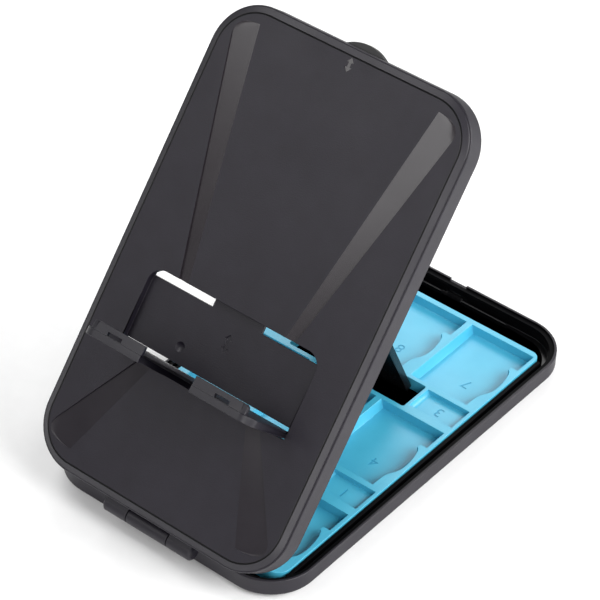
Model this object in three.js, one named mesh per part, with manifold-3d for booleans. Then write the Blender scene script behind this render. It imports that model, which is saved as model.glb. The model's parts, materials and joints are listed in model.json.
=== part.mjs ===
import * as THREE from 'three';
import { mergeVertices } from 'three/addons/utils/BufferGeometryUtils.js';
import Module from 'manifold-3d';

// Game card case whose lid stands up as a console stand.
// Millimetres, +Z up, X along the hinge, Y from the hinge to the free end.
// The origin is the middle of the base shell's underside.

const wasm = await Module();
wasm.setup();

// Case outline shared by base and lid
const CASE_WIDTH = 92;
const CASE_LENGTH = 149;
const CASE_CORNER_RADIUS = 15.6;
const BASE_HEIGHT = 6.6;
const LID_HEIGHT = 7.8;
const FACE_BEVEL_INSET = 2.3;
const FACE_BEVEL_RISE = 1.15;
const CREASE_ROUND = 0.5;
const RIM_ROUND = 0.25;

// How far the ledge is folded out of the lid
const LEDGE_OPEN_DEGREES = 84;

// Fits between pieces, and how far a cutter runs past a face
const MOULDED_GAP = 0.3;
const PIVOT_GAP = 0.1;
const OVERRUN = 1;

// Base shell: rim with a lip, wall, low ledge round the floor
const LIP_WIDTH = 0.85;
const LIP_DROP = 0.8;
const RIM_WIDTH = 2.35;
const FLOOR_THICKNESS = 1.2;
const FLOOR_LEDGE_WIDTH = 2.15;
const FLOOR_LEDGE_HEIGHT = 0.6;
const FLOOR_NEAR_RADIUS = 8.5;
const FLOOR_FAR_RADIUS = 11;
const TRAY_RAIL_WIDTH = 1.2;
const TRAY_RAIL_DROP = 0.5;
const TRAY_RAIL_END = 2.3;
const END_RIDGE_HALF_LENGTH = 21.9;
const END_RIDGE_WIDTH = 0.8;
const END_RIDGE_HEIGHT = 2.2;
const END_RIDGE_SETBACK = 3.8;
const CATCH_HALF_WIDTH = 3.2;
const CATCH_RAMP_RISE = 0.7;
const CATCH_RECESS_DEPTH = 0.8;

// Hinge: base knuckle in the middle, lid knuckles on both sides
const HINGE_SETBACK = 2.85;
const KNUCKLE_RADIUS = 2.45;
const MIDDLE_KNUCKLE_HALF_LENGTH = 7.6;
const HINGE_HALF_LENGTH = 16.9;
const KNUCKLE_CHAMFER = 0.7;
const HINGE_PIN_RADIUS = 0.9;
const HINGE_PIN_INSET = 0.8;

// Rubber feet
const FOOT_RADIUS = 4;
const FOOT_PROUD = 0.4;
const FOOT_RECESS_DEPTH = 0.5;
const FOOT_EDGE_ROUND = 0.25;
const FOOT_CORNER_INSET = 15;

// Card tray, and the troughs between it and the walls of the base
const TRAY_HEIGHT_ABOVE_FLOOR = 4.85;
const TRAY_SIDE_TROUGH = 2.75;
const TRAY_NEAR_TROUGH = 4.6;
const TRAY_FAR_TROUGH = 9.85;
const TRAY_FAR_RADIUS = 3;
const TRAY_NEAR_RADIUS = 5;

// Game card pockets, three columns by three rows, and what is left between them
const CARD_COLUMNS = 3;
const CARD_ROWS = 3;
const TRAY_LEFT_WALL = 3.85;
const TRAY_RIGHT_WALL = 1.35;
const TRAY_NEAR_WALL = 1.25;
const TRAY_FAR_WALL = 2.1;
const COLUMN_WALL = 2.15;
const CROSS_BAR_WIDTH = 15.1;
const CARD_POCKET_DEPTH = 3.4;
const CARD_POCKET_WIDENING = 2.5;
const POCKET_WALL_SLOPE = 0.9;
const SCOOP_START_SHARE = 0.1;
const SCOOP_PEAK_SHARE = 0.39;
const SCOOP_END_SHARE = 0.68;
const WIDE_END_SHARE = 0.73;

// Section of a scoop, from its floor to its brim: shares of the depth and of the reach
const SCOOP_SECTION_SHARES = [[0, 0.1], [0.1, 0.48], [0.3, 0.75], [0.6, 0.93], [1, 1]];

// Memory card pockets in the cross bars
const MEMORY_POCKET_NEAR_WALL = 3.45;
const MEMORY_POCKET_FAR_WALL = 2.15;
const MEMORY_POCKET_SIDE_WALL = 1.2;
const MEMORY_POCKET_INNER_WALL = 1.1;
const MEMORY_POCKET_DEPTH = 1.8;
const MEMORY_SCOOP_RUN = 1.6;

// Hole in the far cross bar for the foot of the leg
const LEG_HOLE_SIDE_ROOM = 5.2;
const LEG_HOLE_NEAR_WALL = 1.65;
const LEG_HOLE_FAR_WALL = 1.55;
const LEG_HOLE_RADIUS = 0.8;

// Lid shell
const LID_FACE_THICKNESS = 1.8;
const TONGUE_GAP = 0.25;

// Window in the lid that holds the ledge
const WINDOW_HALF_WIDTH = 31.4;
const WINDOW_NEAR_EDGE = 40.7;
const WINDOW_FAR_EDGE = 66.6;
const WINDOW_FAR_RADIUS = 4.8;
const WINDOW_NEAR_RADIUS = 0.8;
const RECESS_DEPTH = 2.5;
const RECESS_FLOOR_THICKNESS = 1.1;
const RECESS_WALL = 2.5;
const RECESS_NECK_HALF_WIDTH = 9.2;
const LIP_SLOT_LENGTH = 2.8;
const BARREL_SLOT_END = 44.05;
const DIMPLE_RADIUS = 1.6;
const DIMPLE_DEPTH = 0.5;
const DIMPLE_X_SHARE = -0.427;
const DIMPLE_Y_SHARE = 0.315;

// Flutes that fan out from the window over the lid, as shares of the
// half width and of the length between the window and the end of the lid
const FLUTE_DEPTH = 0.6;
const FAR_FLUTE_SHARES = {
  outerNarrow: [0.471, 0],
  outerWide: [0.862, 0.848],
  innerWide: [0.693, 0.928],
  innerNarrow: [0.393, 0],
};
const NEAR_FLUTE_SHARES = {
  outerNarrow: [0.489, 0],
  outerWide: [0.869, 0.668],
  innerWide: [0.678, 0.837],
  innerNarrow: [0.379, 0],
};

// Folding ledge
const LEDGE_THICKNESS = 2.2;
const LEDGE_SWING_GAP = 0.2;
const LEDGE_LIP_HEIGHT = 5.1;
const LEDGE_LIP_THICKNESS = 1.4;
const LEDGE_LIP_START = 9.4;
const LEDGE_LIP_END_INSET = 2.7;
const LEDGE_LIP_SETBACK = 0.12;
const LEDGE_LIP_END_RADIUS = 1;
const LEDGE_SLOT_CENTRE = 19.9;
const LEDGE_SLOT_LENGTH = 5.2;
const LEDGE_SLOT_WIDTH = 1.2;
const LEDGE_SLOT_DROP = 2.9;
const NOTCH_OUTER_DEPTH = 6.85;
const NOTCH_INNER_DEPTH = 10.4;
const LEDGE_STUB_RADIUS = 0.75;
const LEDGE_STUB_LENGTH = 1.9;

// Prop leg
const LEG_LENGTH = 92.8;
const LEG_PIVOT_HEIGHT = 1.12;
const LEG_STOWED_GAP = 1.65;
const LEG_FOOT_GAP = 0.49;
const LEG_FOOT_LIFT = 0.93;
const LEG_THICKNESS = 2.4;
const LEG_HALF_WIDTH = 17.4;
const LEG_FOOT_CORNER = 1.5;
const LEG_STUB_RADIUS = 0.75;
const LEG_STUB_LENGTH = 1.9;
const LEG_BOSS_THICKNESS = 2.5;
const LEG_BOSS_HALF_WIDTH = 2.6;
const LEG_BOSS_DROP = 0.2;

// Thumb latch
const LATCH_HALF_WIDTH = 7;
const LATCH_PROUD = 2.05;
const LATCH_HEIGHT = 2.2;
const LATCH_BODY_DEPTH = 3.6;
const HOOK_HALF_WIDTH = 3;
const HOOK_THICKNESS = 0.95;
const HOOK_REACH = 3.9;
const HOOK_BARB = 0.5;
const HOOK_BARB_RISE = 0.9;

// Facet counts
const CORNER_DIVISIONS = 8;
const SMALL_CORNER_DIVISIONS = 2;
const CREASE_DIVISIONS = 2;
const ROUND_SEGMENTS = 32;
const PIN_SEGMENTS = 16;
const SCOOP_DIVISIONS = 8;
const FLUTE_END_STEPS = 6;
const NOTCH_STEPS = 16;
const WELD_DISTANCE = 1e-4;

// Values worked out from the sizes above
const TRAY_TOP = FLOOR_THICKNESS + TRAY_HEIGHT_ABOVE_FLOOR;
const TRAY_HALF_WIDTH = CASE_WIDTH / 2 - RIM_WIDTH - TRAY_SIDE_TROUGH;
const TRAY_NEAR_EDGE = RIM_WIDTH + TRAY_NEAR_TROUGH;
const TRAY_FAR_EDGE = CASE_LENGTH - RIM_WIDTH - TRAY_FAR_TROUGH;
const COLUMN_SPACE = 2 * TRAY_HALF_WIDTH - TRAY_LEFT_WALL - TRAY_RIGHT_WALL + COLUMN_WALL;
const ROW_SPACE = TRAY_FAR_EDGE - TRAY_NEAR_EDGE - TRAY_NEAR_WALL - TRAY_FAR_WALL + CROSS_BAR_WIDTH;
const CARD_COLUMN_PITCH = COLUMN_SPACE / CARD_COLUMNS;
const CARD_ROW_PITCH = ROW_SPACE / CARD_ROWS;
const CARD_POCKET_WIDTH = CARD_COLUMN_PITCH - COLUMN_WALL - CARD_POCKET_WIDENING;
const CARD_POCKET_LENGTH = CARD_ROW_PITCH - CROSS_BAR_WIDTH;
const FLOOR_LEDGE_TOP = FLOOR_THICKNESS + FLOOR_LEDGE_HEIGHT;
const RIM_LEDGE_TOP = BASE_HEIGHT - LIP_DROP;
const HINGE_HEIGHT = (BASE_HEIGHT + LID_HEIGHT) / 2;
const HINGE_ABOVE_RIM = HINGE_HEIGHT - BASE_HEIGHT;
const HINGE_BORE_RADIUS = HINGE_PIN_RADIUS + PIVOT_GAP;
const RECESS_FLOOR_TOP = LID_HEIGHT - RECESS_DEPTH;
const RECESS_FLOOR_BOTTOM = RECESS_FLOOR_TOP - RECESS_FLOOR_THICKNESS;
const LID_CEILING = LID_HEIGHT - LID_FACE_THICKNESS;
const LEDGE_ROOT_RADIUS = LEDGE_THICKNESS / 2;
const LEDGE_AXIS_Y = WINDOW_NEAR_EDGE + LEDGE_ROOT_RADIUS + MOULDED_GAP;
const LEDGE_AXIS_HEIGHT = LID_HEIGHT - LEDGE_ROOT_RADIUS;
const LEDGE_HALF_WIDTH = WINDOW_HALF_WIDTH - MOULDED_GAP;
const LEDGE_LIP_TIP = LEDGE_ROOT_RADIUS - LEDGE_LIP_HEIGHT;
const LEDGE_LIP_END = LEDGE_HALF_WIDTH - LEDGE_LIP_END_INSET;
const LEG_PIVOT_RADIUS = LEG_THICKNESS / 2;
const LEG_PIVOT_DISTANCE = RIM_WIDTH + LEG_STOWED_GAP + LEG_PIVOT_RADIUS + LEG_LENGTH;
const LEG_HOLE_HALF_WIDTH = LEG_HALF_WIDTH + LEG_HOLE_SIDE_ROOM;

// A closed geometry as a solid that can be cut and joined
function solid(geometry) {
  const bare = new THREE.BufferGeometry();
  bare.setAttribute('position', geometry.getAttribute('position'));
  if (geometry.index) {
    bare.setIndex(geometry.index);
  }
  const welded = mergeVertices(bare, WELD_DISTANCE);
  const corners = welded.index.array;
  const kept = [];
  for (let i = 0; i < corners.length; i += 3) {
    const [a, b, c] = [corners[i], corners[i + 1], corners[i + 2]];
    if (a !== b && b !== c && c !== a) {
      kept.push(a, b, c);
    }
  }
  return new wasm.Manifold(new wasm.Mesh({
    numProp: 3,
    vertProperties: new Float32Array(welded.getAttribute('position').array),
    triVerts: new Uint32Array(kept),
  }));
}

// A finished solid as a named mesh
function piece(name, body, material) {
  const result = body.getMesh();
  const geometry = new THREE.BufferGeometry();
  geometry.setAttribute('position', new THREE.BufferAttribute(new Float32Array(result.vertProperties), 3));
  geometry.setIndex(new THREE.BufferAttribute(new Uint32Array(result.triVerts), 1));
  geometry.computeVertexNormals();
  const mesh = new THREE.Mesh(geometry, material);
  mesh.name = name;
  return mesh;
}

// Corner points of a path, with the closing point left out
function outlinePoints(path, divisions) {
  const points = path.getPoints(divisions);
  if (points[0].distanceTo(points[points.length - 1]) < WELD_DISTANCE) {
    points.pop();
  }
  return points;
}

// Rectangle from two corners, with one radius on its near and one on its far corners
function roundedRectangle(xLow, xHigh, yLow, yHigh, nearRadius, farRadius) {
  const path = new THREE.Path();
  path.absarc(xHigh - nearRadius, yLow + nearRadius, nearRadius, -Math.PI / 2, 0);
  path.absarc(xHigh - farRadius, yHigh - farRadius, farRadius, 0, Math.PI / 2);
  path.absarc(xLow + farRadius, yHigh - farRadius, farRadius, Math.PI / 2, Math.PI);
  path.absarc(xLow + nearRadius, yLow + nearRadius, nearRadius, Math.PI, 1.5 * Math.PI);
  return path;
}

// Outline of the case, moved in from its outside
function caseOutline(inset) {
  const side = CASE_WIDTH / 2 - inset;
  const radius = CASE_CORNER_RADIUS - inset;
  const path = roundedRectangle(-side, side, inset, CASE_LENGTH - inset, radius, radius);
  return outlinePoints(path, CORNER_DIVISIONS);
}

// A flat outline lifted to one height
function ring(points, height) {
  return points.map((point) => new THREE.Vector3(point.x, point.y, height));
}

// Closed body through a stack of matching rings, each counter-clockwise seen from its far end
function loft(rings, flatten) {
  const count = rings[0].length;
  const positions = rings.flat().flatMap((point) => [point.x, point.y, point.z]);
  const faces = [];
  for (let level = 0; level < rings.length - 1; level += 1) {
    for (let i = 0; i < count; i += 1) {
      const here = level * count + i;
      const beside = level * count + ((i + 1) % count);
      faces.push(here, beside, beside + count);
      faces.push(here, beside + count, here + count);
    }
  }
  const last = (rings.length - 1) * count;
  for (const [a, b, c] of THREE.ShapeUtils.triangulateShape(rings[0].map(flatten), [])) {
    faces.push(c, b, a);
  }
  for (const [a, b, c] of THREE.ShapeUtils.triangulateShape(rings[rings.length - 1].map(flatten), [])) {
    faces.push(last + a, last + b, last + c);
  }
  const geometry = new THREE.BufferGeometry();
  geometry.setAttribute('position', new THREE.Float32BufferAttribute(positions, 3));
  geometry.setIndex(faces);
  return solid(geometry);
}

// Rings stacked upwards
function stack(rings) {
  return loft(rings, (point) => new THREE.Vector2(point.x, point.y));
}

// Outline pulled up from one height to another
function slab(points, low, high) {
  return stack([ring(points, low), ring(points, high)]);
}

// Box from its limits
function block(xLow, xHigh, yLow, yHigh, zLow, zHigh) {
  const geometry = new THREE.BoxGeometry(xHigh - xLow, yHigh - yLow, zHigh - zLow);
  geometry.translate((xLow + xHigh) / 2, (yLow + yHigh) / 2, (zLow + zHigh) / 2);
  return solid(geometry);
}

// Profile drawn in Y and Z, pulled along X
function along(profile, xLow, xHigh) {
  const geometry = new THREE.ExtrudeGeometry(profile, {
    depth: xHigh - xLow,
    bevelEnabled: false,
    curveSegments: ROUND_SEGMENTS / 4,
  });
  const turn = new THREE.Matrix4().makeBasis(
    new THREE.Vector3(0, 1, 0),
    new THREE.Vector3(0, 0, 1),
    new THREE.Vector3(1, 0, 0),
  );
  geometry.applyMatrix4(turn);
  geometry.translate(xLow, 0, 0);
  return solid(geometry);
}

// Polygon profile from points in Y and Z
function profileOf(points) {
  return new THREE.Shape(points.map(([y, z]) => new THREE.Vector2(y, z)));
}

// Round rod along X
function rod(radius, xLow, xHigh, y, z, segments) {
  const geometry = new THREE.CylinderGeometry(radius, radius, xHigh - xLow, segments);
  geometry.rotateZ(Math.PI / 2);
  geometry.translate((xLow + xHigh) / 2, y, z);
  return solid(geometry);
}

// The same solid on the other side of the centre plane
function mirrored(body) {
  return body.mirror([1, 0, 0]);
}

// Both a solid and its mirror image
function bothSides(body) {
  return body.add(mirrored(body));
}

// Wall profile of inset and height, with each inner corner rounded by its own size
function roundedProfile(corners) {
  const points = [new THREE.Vector2(corners[0][0], corners[0][1])];
  for (let i = 1; i < corners.length - 1; i += 1) {
    const before = new THREE.Vector2(corners[i - 1][0], corners[i - 1][1]);
    const corner = new THREE.Vector2(corners[i][0], corners[i][1]);
    const after = new THREE.Vector2(corners[i + 1][0], corners[i + 1][1]);
    const size = corners[i][2];
    const start = corner.clone().add(before.sub(corner).setLength(size));
    const end = corner.clone().add(after.sub(corner).setLength(size));
    points.push(...new THREE.QuadraticBezierCurve(start, corner, end).getPoints(CREASE_DIVISIONS));
  }
  const final = corners[corners.length - 1];
  points.push(new THREE.Vector2(final[0], final[1]));
  return points;
}

// Case-shaped body that follows a wall profile
function caseBody(profile) {
  return stack(roundedProfile(profile).map((point) => ring(caseOutline(point.x), point.y)));
}

// Barrel and web of one knuckle, as a profile in Y and Z about the hinge axis
function knuckleProfile(webTop, webBottom, reach) {
  const profile = new THREE.Shape();
  const lower = Math.asin(webBottom / KNUCKLE_RADIUS);
  const upper = Math.asin(webTop / KNUCKLE_RADIUS);
  profile.moveTo(reach, webBottom);
  profile.lineTo(reach, webTop);
  profile.lineTo(KNUCKLE_RADIUS * Math.cos(upper), webTop);
  profile.absarc(0, 0, KNUCKLE_RADIUS, upper, lower + 2 * Math.PI);
  return profile;
}

// Knuckle between two places along X, its web joined to the shell's end wall
function knuckle(xLow, xHigh, webTop, webBottom) {
  const profile = knuckleProfile(webTop, webBottom, HINGE_SETBACK + RIM_WIDTH / 2);
  return along(profile, xLow, xHigh).translate([0, -HINGE_SETBACK, 0]);
}

// Cone that narrows towards a rod's end: what the two share is a chamfered end
function endChamfer(radius, chamfer, xEnd, y, z) {
  const length = chamfer + OVERRUN;
  const geometry = new THREE.CylinderGeometry(radius - chamfer, radius + OVERRUN, length, ROUND_SEGMENTS);
  geometry.rotateZ(-Math.PI / 2);
  geometry.translate(xEnd - length / 2, y, z);
  return solid(geometry);
}

const shellPlastic = new THREE.MeshStandardMaterial({ color: 0x3a393d, roughness: 0.45, metalness: 0 });
const innerPlastic = new THREE.MeshStandardMaterial({ color: 0x17171a, roughness: 0.3, metalness: 0 });
const trayPlastic = new THREE.MeshStandardMaterial({ color: 0x4bb8e8, roughness: 0.5, metalness: 0 });
const pinSteel = new THREE.MeshStandardMaterial({ color: 0xb8babd, roughness: 0.3, metalness: 1 });
const footRubber = new THREE.MeshStandardMaterial({ color: 0x222224, roughness: 0.9, metalness: 0 });

// Base shell, a shallow moulded pan
function makeBaseShell() {
  let shell = caseBody([
    [FACE_BEVEL_INSET + CREASE_ROUND, 0],
    [FACE_BEVEL_INSET, 0, CREASE_ROUND],
    [0, FACE_BEVEL_RISE, CREASE_ROUND],
    [0, BASE_HEIGHT, RIM_ROUND],
    [RIM_ROUND, BASE_HEIGHT],
  ]);
  const above = BASE_HEIGHT + OVERRUN;
  const floorInset = RIM_WIDTH + FLOOR_LEDGE_WIDTH;
  const floorOutline = roundedRectangle(
    floorInset - CASE_WIDTH / 2,
    CASE_WIDTH / 2 - floorInset,
    floorInset,
    CASE_LENGTH - floorInset,
    FLOOR_NEAR_RADIUS,
    FLOOR_FAR_RADIUS,
  );
  shell = shell
    .subtract(slab(caseOutline(LIP_WIDTH), RIM_LEDGE_TOP, above))
    .subtract(slab(caseOutline(RIM_WIDTH), FLOOR_LEDGE_TOP, above))
    .subtract(slab(outlinePoints(floorOutline, CORNER_DIVISIONS), FLOOR_THICKNESS, above));

  // Rails that keep the tray in place along its sides
  const railInside = TRAY_HALF_WIDTH + MOULDED_GAP;
  const rail = block(
    railInside,
    railInside + TRAY_RAIL_WIDTH,
    TRAY_NEAR_EDGE + TRAY_RAIL_END,
    TRAY_FAR_EDGE - TRAY_RAIL_END,
    FLOOR_THICKNESS / 2,
    TRAY_TOP - TRAY_RAIL_DROP,
  );

  // Ridge along the far wall, open in the middle for the hook
  const ridge = block(
    CATCH_HALF_WIDTH + LIP_WIDTH,
    END_RIDGE_HALF_LENGTH,
    CASE_LENGTH - END_RIDGE_SETBACK - END_RIDGE_WIDTH,
    CASE_LENGTH - END_RIDGE_SETBACK,
    FLOOR_THICKNESS / 2,
    FLOOR_THICKNESS + END_RIDGE_HEIGHT,
  );

  // Ramp below the catch
  const rampBack = CASE_LENGTH - RIM_WIDTH / 2;
  const rampFront = CASE_LENGTH - END_RIDGE_SETBACK;
  const ramp = along(
    profileOf([
      [rampFront, FLOOR_THICKNESS],
      [rampBack, FLOOR_THICKNESS],
      [rampBack, FLOOR_LEDGE_TOP + CATCH_RAMP_RISE],
      [CASE_LENGTH - RIM_WIDTH, FLOOR_LEDGE_TOP + CATCH_RAMP_RISE],
      [rampFront, FLOOR_LEDGE_TOP],
    ]),
    -CATCH_HALF_WIDTH,
    CATCH_HALF_WIDTH,
  );
  shell = shell.add(bothSides(rail)).add(bothSides(ridge)).add(ramp);

  // Recess behind the wall that holds the hook's barb, and the notch in the lip
  const barbTop = BASE_HEIGHT - HOOK_REACH + HOOK_BARB_RISE + MOULDED_GAP;
  const barbRecess = block(
    -CATCH_HALF_WIDTH,
    CATCH_HALF_WIDTH,
    CASE_LENGTH - RIM_WIDTH - OVERRUN,
    CASE_LENGTH - RIM_WIDTH + CATCH_RECESS_DEPTH,
    FLOOR_LEDGE_TOP + CATCH_RAMP_RISE,
    barbTop,
  );
  const lipNotch = block(
    -CATCH_HALF_WIDTH,
    CATCH_HALF_WIDTH,
    CASE_LENGTH - RIM_WIDTH,
    CASE_LENGTH + OVERRUN,
    RIM_LEDGE_TOP,
    above,
  );
  shell = shell.subtract(barbRecess).subtract(lipNotch);

  // Middle knuckle, its web level with the rim
  const webBottom = -KNUCKLE_RADIUS * Math.sin(Math.PI / 3);
  const middle = knuckle(
    -MIDDLE_KNUCKLE_HALF_LENGTH,
    MIDDLE_KNUCKLE_HALF_LENGTH,
    -HINGE_ABOVE_RIM,
    webBottom,
  ).translate([0, 0, HINGE_HEIGHT]);
  const bore = rod(
    HINGE_BORE_RADIUS,
    -HINGE_HALF_LENGTH,
    HINGE_HALF_LENGTH,
    -HINGE_SETBACK,
    HINGE_HEIGHT,
    PIN_SEGMENTS,
  );
  shell = shell.add(middle).subtract(bore);

  // Seats of the four feet
  for (const [x, y] of footPlaces()) {
    const seat = new THREE.CylinderGeometry(
      FOOT_RADIUS + MOULDED_GAP,
      FOOT_RADIUS + MOULDED_GAP,
      FOOT_RECESS_DEPTH + OVERRUN,
      ROUND_SEGMENTS,
    );
    seat.rotateX(Math.PI / 2);
    seat.translate(x, y, (FOOT_RECESS_DEPTH - OVERRUN) / 2);
    shell = shell.subtract(solid(seat));
  }
  return shell;
}

// Places of the feet, near the corners of the base
function footPlaces() {
  const x = CASE_WIDTH / 2 - FOOT_CORNER_INSET;
  const places = [];
  for (const y of [FOOT_CORNER_INSET, CASE_LENGTH - FOOT_CORNER_INSET]) {
    places.push([-x, y], [x, y]);
  }
  return places;
}

// Rubber foot, a flat disc with a soft lower edge
function makeFoot() {
  const top = FOOT_RECESS_DEPTH - MOULDED_GAP;
  const profile = [
    new THREE.Vector2(0, -FOOT_PROUD),
    new THREE.Vector2(FOOT_RADIUS - FOOT_EDGE_ROUND, -FOOT_PROUD),
    new THREE.Vector2(FOOT_RADIUS, -FOOT_PROUD + FOOT_EDGE_ROUND),
    new THREE.Vector2(FOOT_RADIUS, top),
    new THREE.Vector2(0, top),
  ];
  const geometry = new THREE.LatheGeometry(profile, ROUND_SEGMENTS);
  geometry.rotateX(Math.PI / 2);
  return solid(geometry);
}

// Steel hinge pin
function makeHingePin() {
  const half = HINGE_HALF_LENGTH - HINGE_PIN_INSET;
  return rod(HINGE_PIN_RADIUS, -half, half, -HINGE_SETBACK, HINGE_HEIGHT, PIN_SEGMENTS);
}

// Outline of a game card pocket from its near left corner: a wide far end
// and a finger scoop in the right wall. lean moves the left wall in at the
// floor, and bulge says how much of the scoop is cut at this level.
function cardPocketOutline(lean, bulge) {
  const width = CARD_POCKET_WIDTH;
  const wide = width + CARD_POCKET_WIDENING;
  const start = CARD_POCKET_LENGTH * SCOOP_START_SHARE;
  const peak = CARD_POCKET_LENGTH * SCOOP_PEAK_SHARE;
  const end = CARD_POCKET_LENGTH * SCOOP_END_SHARE;
  const depth = width + CARD_POCKET_WIDENING * bulge;
  const middle = (start + peak) / 2;
  const path = new THREE.Path();
  path.moveTo(lean, 0);
  path.lineTo(width, 0);
  path.lineTo(width, start);
  path.bezierCurveTo(width, middle, depth, middle, depth, peak);
  path.bezierCurveTo(depth, (peak + end) / 2, (width + depth) / 2, end, width, end);
  path.lineTo(width, CARD_POCKET_LENGTH * WIDE_END_SHARE);
  path.lineTo(wide, CARD_POCKET_LENGTH * WIDE_END_SHARE);
  path.lineTo(wide, CARD_POCKET_LENGTH);
  path.lineTo(lean, CARD_POCKET_LENGTH);
  return outlinePoints(path, SCOOP_DIVISIONS);
}

// Cutter for a game card pocket, dished where the finger goes
function makeCardPocket() {
  const floor = TRAY_TOP - CARD_POCKET_DEPTH;
  const rings = SCOOP_SECTION_SHARES.map(([up, out]) => ring(
    cardPocketOutline(POCKET_WALL_SLOPE * (1 - up), out),
    floor + CARD_POCKET_DEPTH * up,
  ));
  rings.push(ring(cardPocketOutline(0, 1), TRAY_TOP + OVERRUN));
  return stack(rings);
}

// Cutter for a memory card pocket, its inner end scooped
function makeMemoryPocket() {
  const floor = TRAY_TOP - MEMORY_POCKET_DEPTH;
  const length = TRAY_HALF_WIDTH - MEMORY_POCKET_SIDE_WALL - MEMORY_POCKET_INNER_WALL - LEG_HOLE_HALF_WIDTH;
  const width = CROSS_BAR_WIDTH - MEMORY_POCKET_NEAR_WALL - MEMORY_POCKET_FAR_WALL;
  const levels = SCOOP_SECTION_SHARES.map(([up, out]) => [
    MEMORY_SCOOP_RUN * (1 - out),
    floor + MEMORY_POCKET_DEPTH * up,
  ]);
  levels.push([0, TRAY_TOP + OVERRUN]);
  return stack(levels.map(([start, height]) => ring([
    new THREE.Vector2(start, 0),
    new THREE.Vector2(length, 0),
    new THREE.Vector2(length, width),
    new THREE.Vector2(start, width),
  ], height)));
}

// Card tray, one moulding that lies between the rails
function makeCardTray() {
  const edge = roundedRectangle(
    -TRAY_HALF_WIDTH,
    TRAY_HALF_WIDTH,
    TRAY_NEAR_EDGE,
    TRAY_FAR_EDGE,
    TRAY_NEAR_RADIUS,
    TRAY_FAR_RADIUS,
  );
  let tray = slab(outlinePoints(edge, CORNER_DIVISIONS), FLOOR_THICKNESS + MOULDED_GAP, TRAY_TOP);

  const firstColumn = TRAY_LEFT_WALL - TRAY_HALF_WIDTH;
  const pocket = makeCardPocket();
  for (let column = 0; column < CARD_COLUMNS; column += 1) {
    for (let row = 0; row < CARD_ROWS; row += 1) {
      const x = firstColumn + column * CARD_COLUMN_PITCH;
      tray = tray.subtract(pocket.translate([x, rowStart(row), 0]));
    }
  }

  const memoryPocket = makeMemoryPocket();
  const memoryX = LEG_HOLE_HALF_WIDTH + MEMORY_POCKET_INNER_WALL;
  for (let row = 1; row < CARD_ROWS; row += 1) {
    const y = rowStart(row) - CROSS_BAR_WIDTH + MEMORY_POCKET_NEAR_WALL;
    tray = tray.subtract(bothSides(memoryPocket.translate([memoryX, y, 0])));
  }

  const [holeNear, holeFar] = legHoleLimits();
  const hole = roundedRectangle(
    -LEG_HOLE_HALF_WIDTH,
    LEG_HOLE_HALF_WIDTH,
    holeNear,
    holeFar,
    LEG_HOLE_RADIUS,
    LEG_HOLE_RADIUS,
  );
  return tray.subtract(slab(outlinePoints(hole, SMALL_CORNER_DIVISIONS), 0, TRAY_TOP + OVERRUN));
}

// Near end of the pockets in one row, counted from the hinge
function rowStart(row) {
  return TRAY_NEAR_EDGE + TRAY_NEAR_WALL + row * CARD_ROW_PITCH;
}

// Near and far walls of the hole in the cross bar before the last row
function legHoleLimits() {
  const barEnd = rowStart(CARD_ROWS - 1);
  return [barEnd - CROSS_BAR_WIDTH + LEG_HOLE_NEAR_WALL, barEnd - LEG_HOLE_FAR_WALL];
}

// Angles of the lid and of the leg in it, set by where the foot stands in the hole
function standingAngles() {
  const pivotOut = HINGE_SETBACK + LEG_PIVOT_DISTANCE;
  const pivotUp = LEG_PIVOT_HEIGHT - HINGE_ABOVE_RIM;
  const footOut = HINGE_SETBACK + legHoleLimits()[1] - LEG_FOOT_GAP - LEG_PIVOT_RADIUS;
  const footUp = FLOOR_THICKNESS + LEG_FOOT_LIFT + LEG_PIVOT_RADIUS - HINGE_HEIGHT;
  const arm = Math.hypot(pivotOut, pivotUp);
  const ground = Math.hypot(footOut, footUp);
  const between = Math.acos((arm ** 2 + ground ** 2 - LEG_LENGTH ** 2) / (2 * arm * ground));
  const armAngle = Math.atan2(footUp, footOut) + between;
  const lidAngle = armAngle - Math.atan2(pivotUp, pivotOut);
  const down = footUp - arm * Math.sin(armAngle);
  const along = footOut - arm * Math.cos(armAngle);
  return [lidAngle, Math.atan2(down, along) - lidAngle];
}

// Cutter for one flute: shares place it on the half of the lid, and its floor
// falls from nothing at the inner edge to full depth at the outer edge
function makeFlute(shares, windowEdge, endEdge) {
  const place = ([across, outward]) => new THREE.Vector2(
    across * CASE_WIDTH / 2,
    windowEdge + outward * (endEdge - windowEdge),
  );
  const outerNarrow = place(shares.outerNarrow);
  const outerWide = place(shares.outerWide);
  const innerWide = place(shares.innerWide);
  const innerNarrow = place(shares.innerNarrow);
  const run = outerWide.clone().sub(outerNarrow);
  const reach = (innerWide.y - outerNarrow.y) / run.y;
  const corner = outerNarrow.clone().addScaledVector(run, reach);
  const end = new THREE.QuadraticBezierCurve(outerWide, corner, innerWide);

  const stations = [[outerNarrow, innerNarrow]];
  for (let step = 0; step < FLUTE_END_STEPS; step += 1) {
    stations.push([end.getPoint(step / FLUTE_END_STEPS), innerWide]);
  }
  const top = LID_HEIGHT + OVERRUN;
  const rings = stations.map(([outer, inner]) => [
    new THREE.Vector3(outer.x, outer.y, LID_HEIGHT - FLUTE_DEPTH),
    new THREE.Vector3(inner.x, inner.y, LID_HEIGHT),
    new THREE.Vector3(inner.x, inner.y, top),
    new THREE.Vector3(outer.x, outer.y, top),
  ]);
  if (endEdge < windowEdge) {
    rings.reverse();
  }
  return loft(rings, (point) => new THREE.Vector2(-point.x, point.z));
}

// Outline of the window in the lid
function windowOutline() {
  const path = roundedRectangle(
    -WINDOW_HALF_WIDTH,
    WINDOW_HALF_WIDTH,
    WINDOW_NEAR_EDGE,
    WINDOW_FAR_EDGE,
    WINDOW_NEAR_RADIUS,
    WINDOW_FAR_RADIUS,
  );
  return outlinePoints(path, CORNER_DIVISIONS);
}

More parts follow.
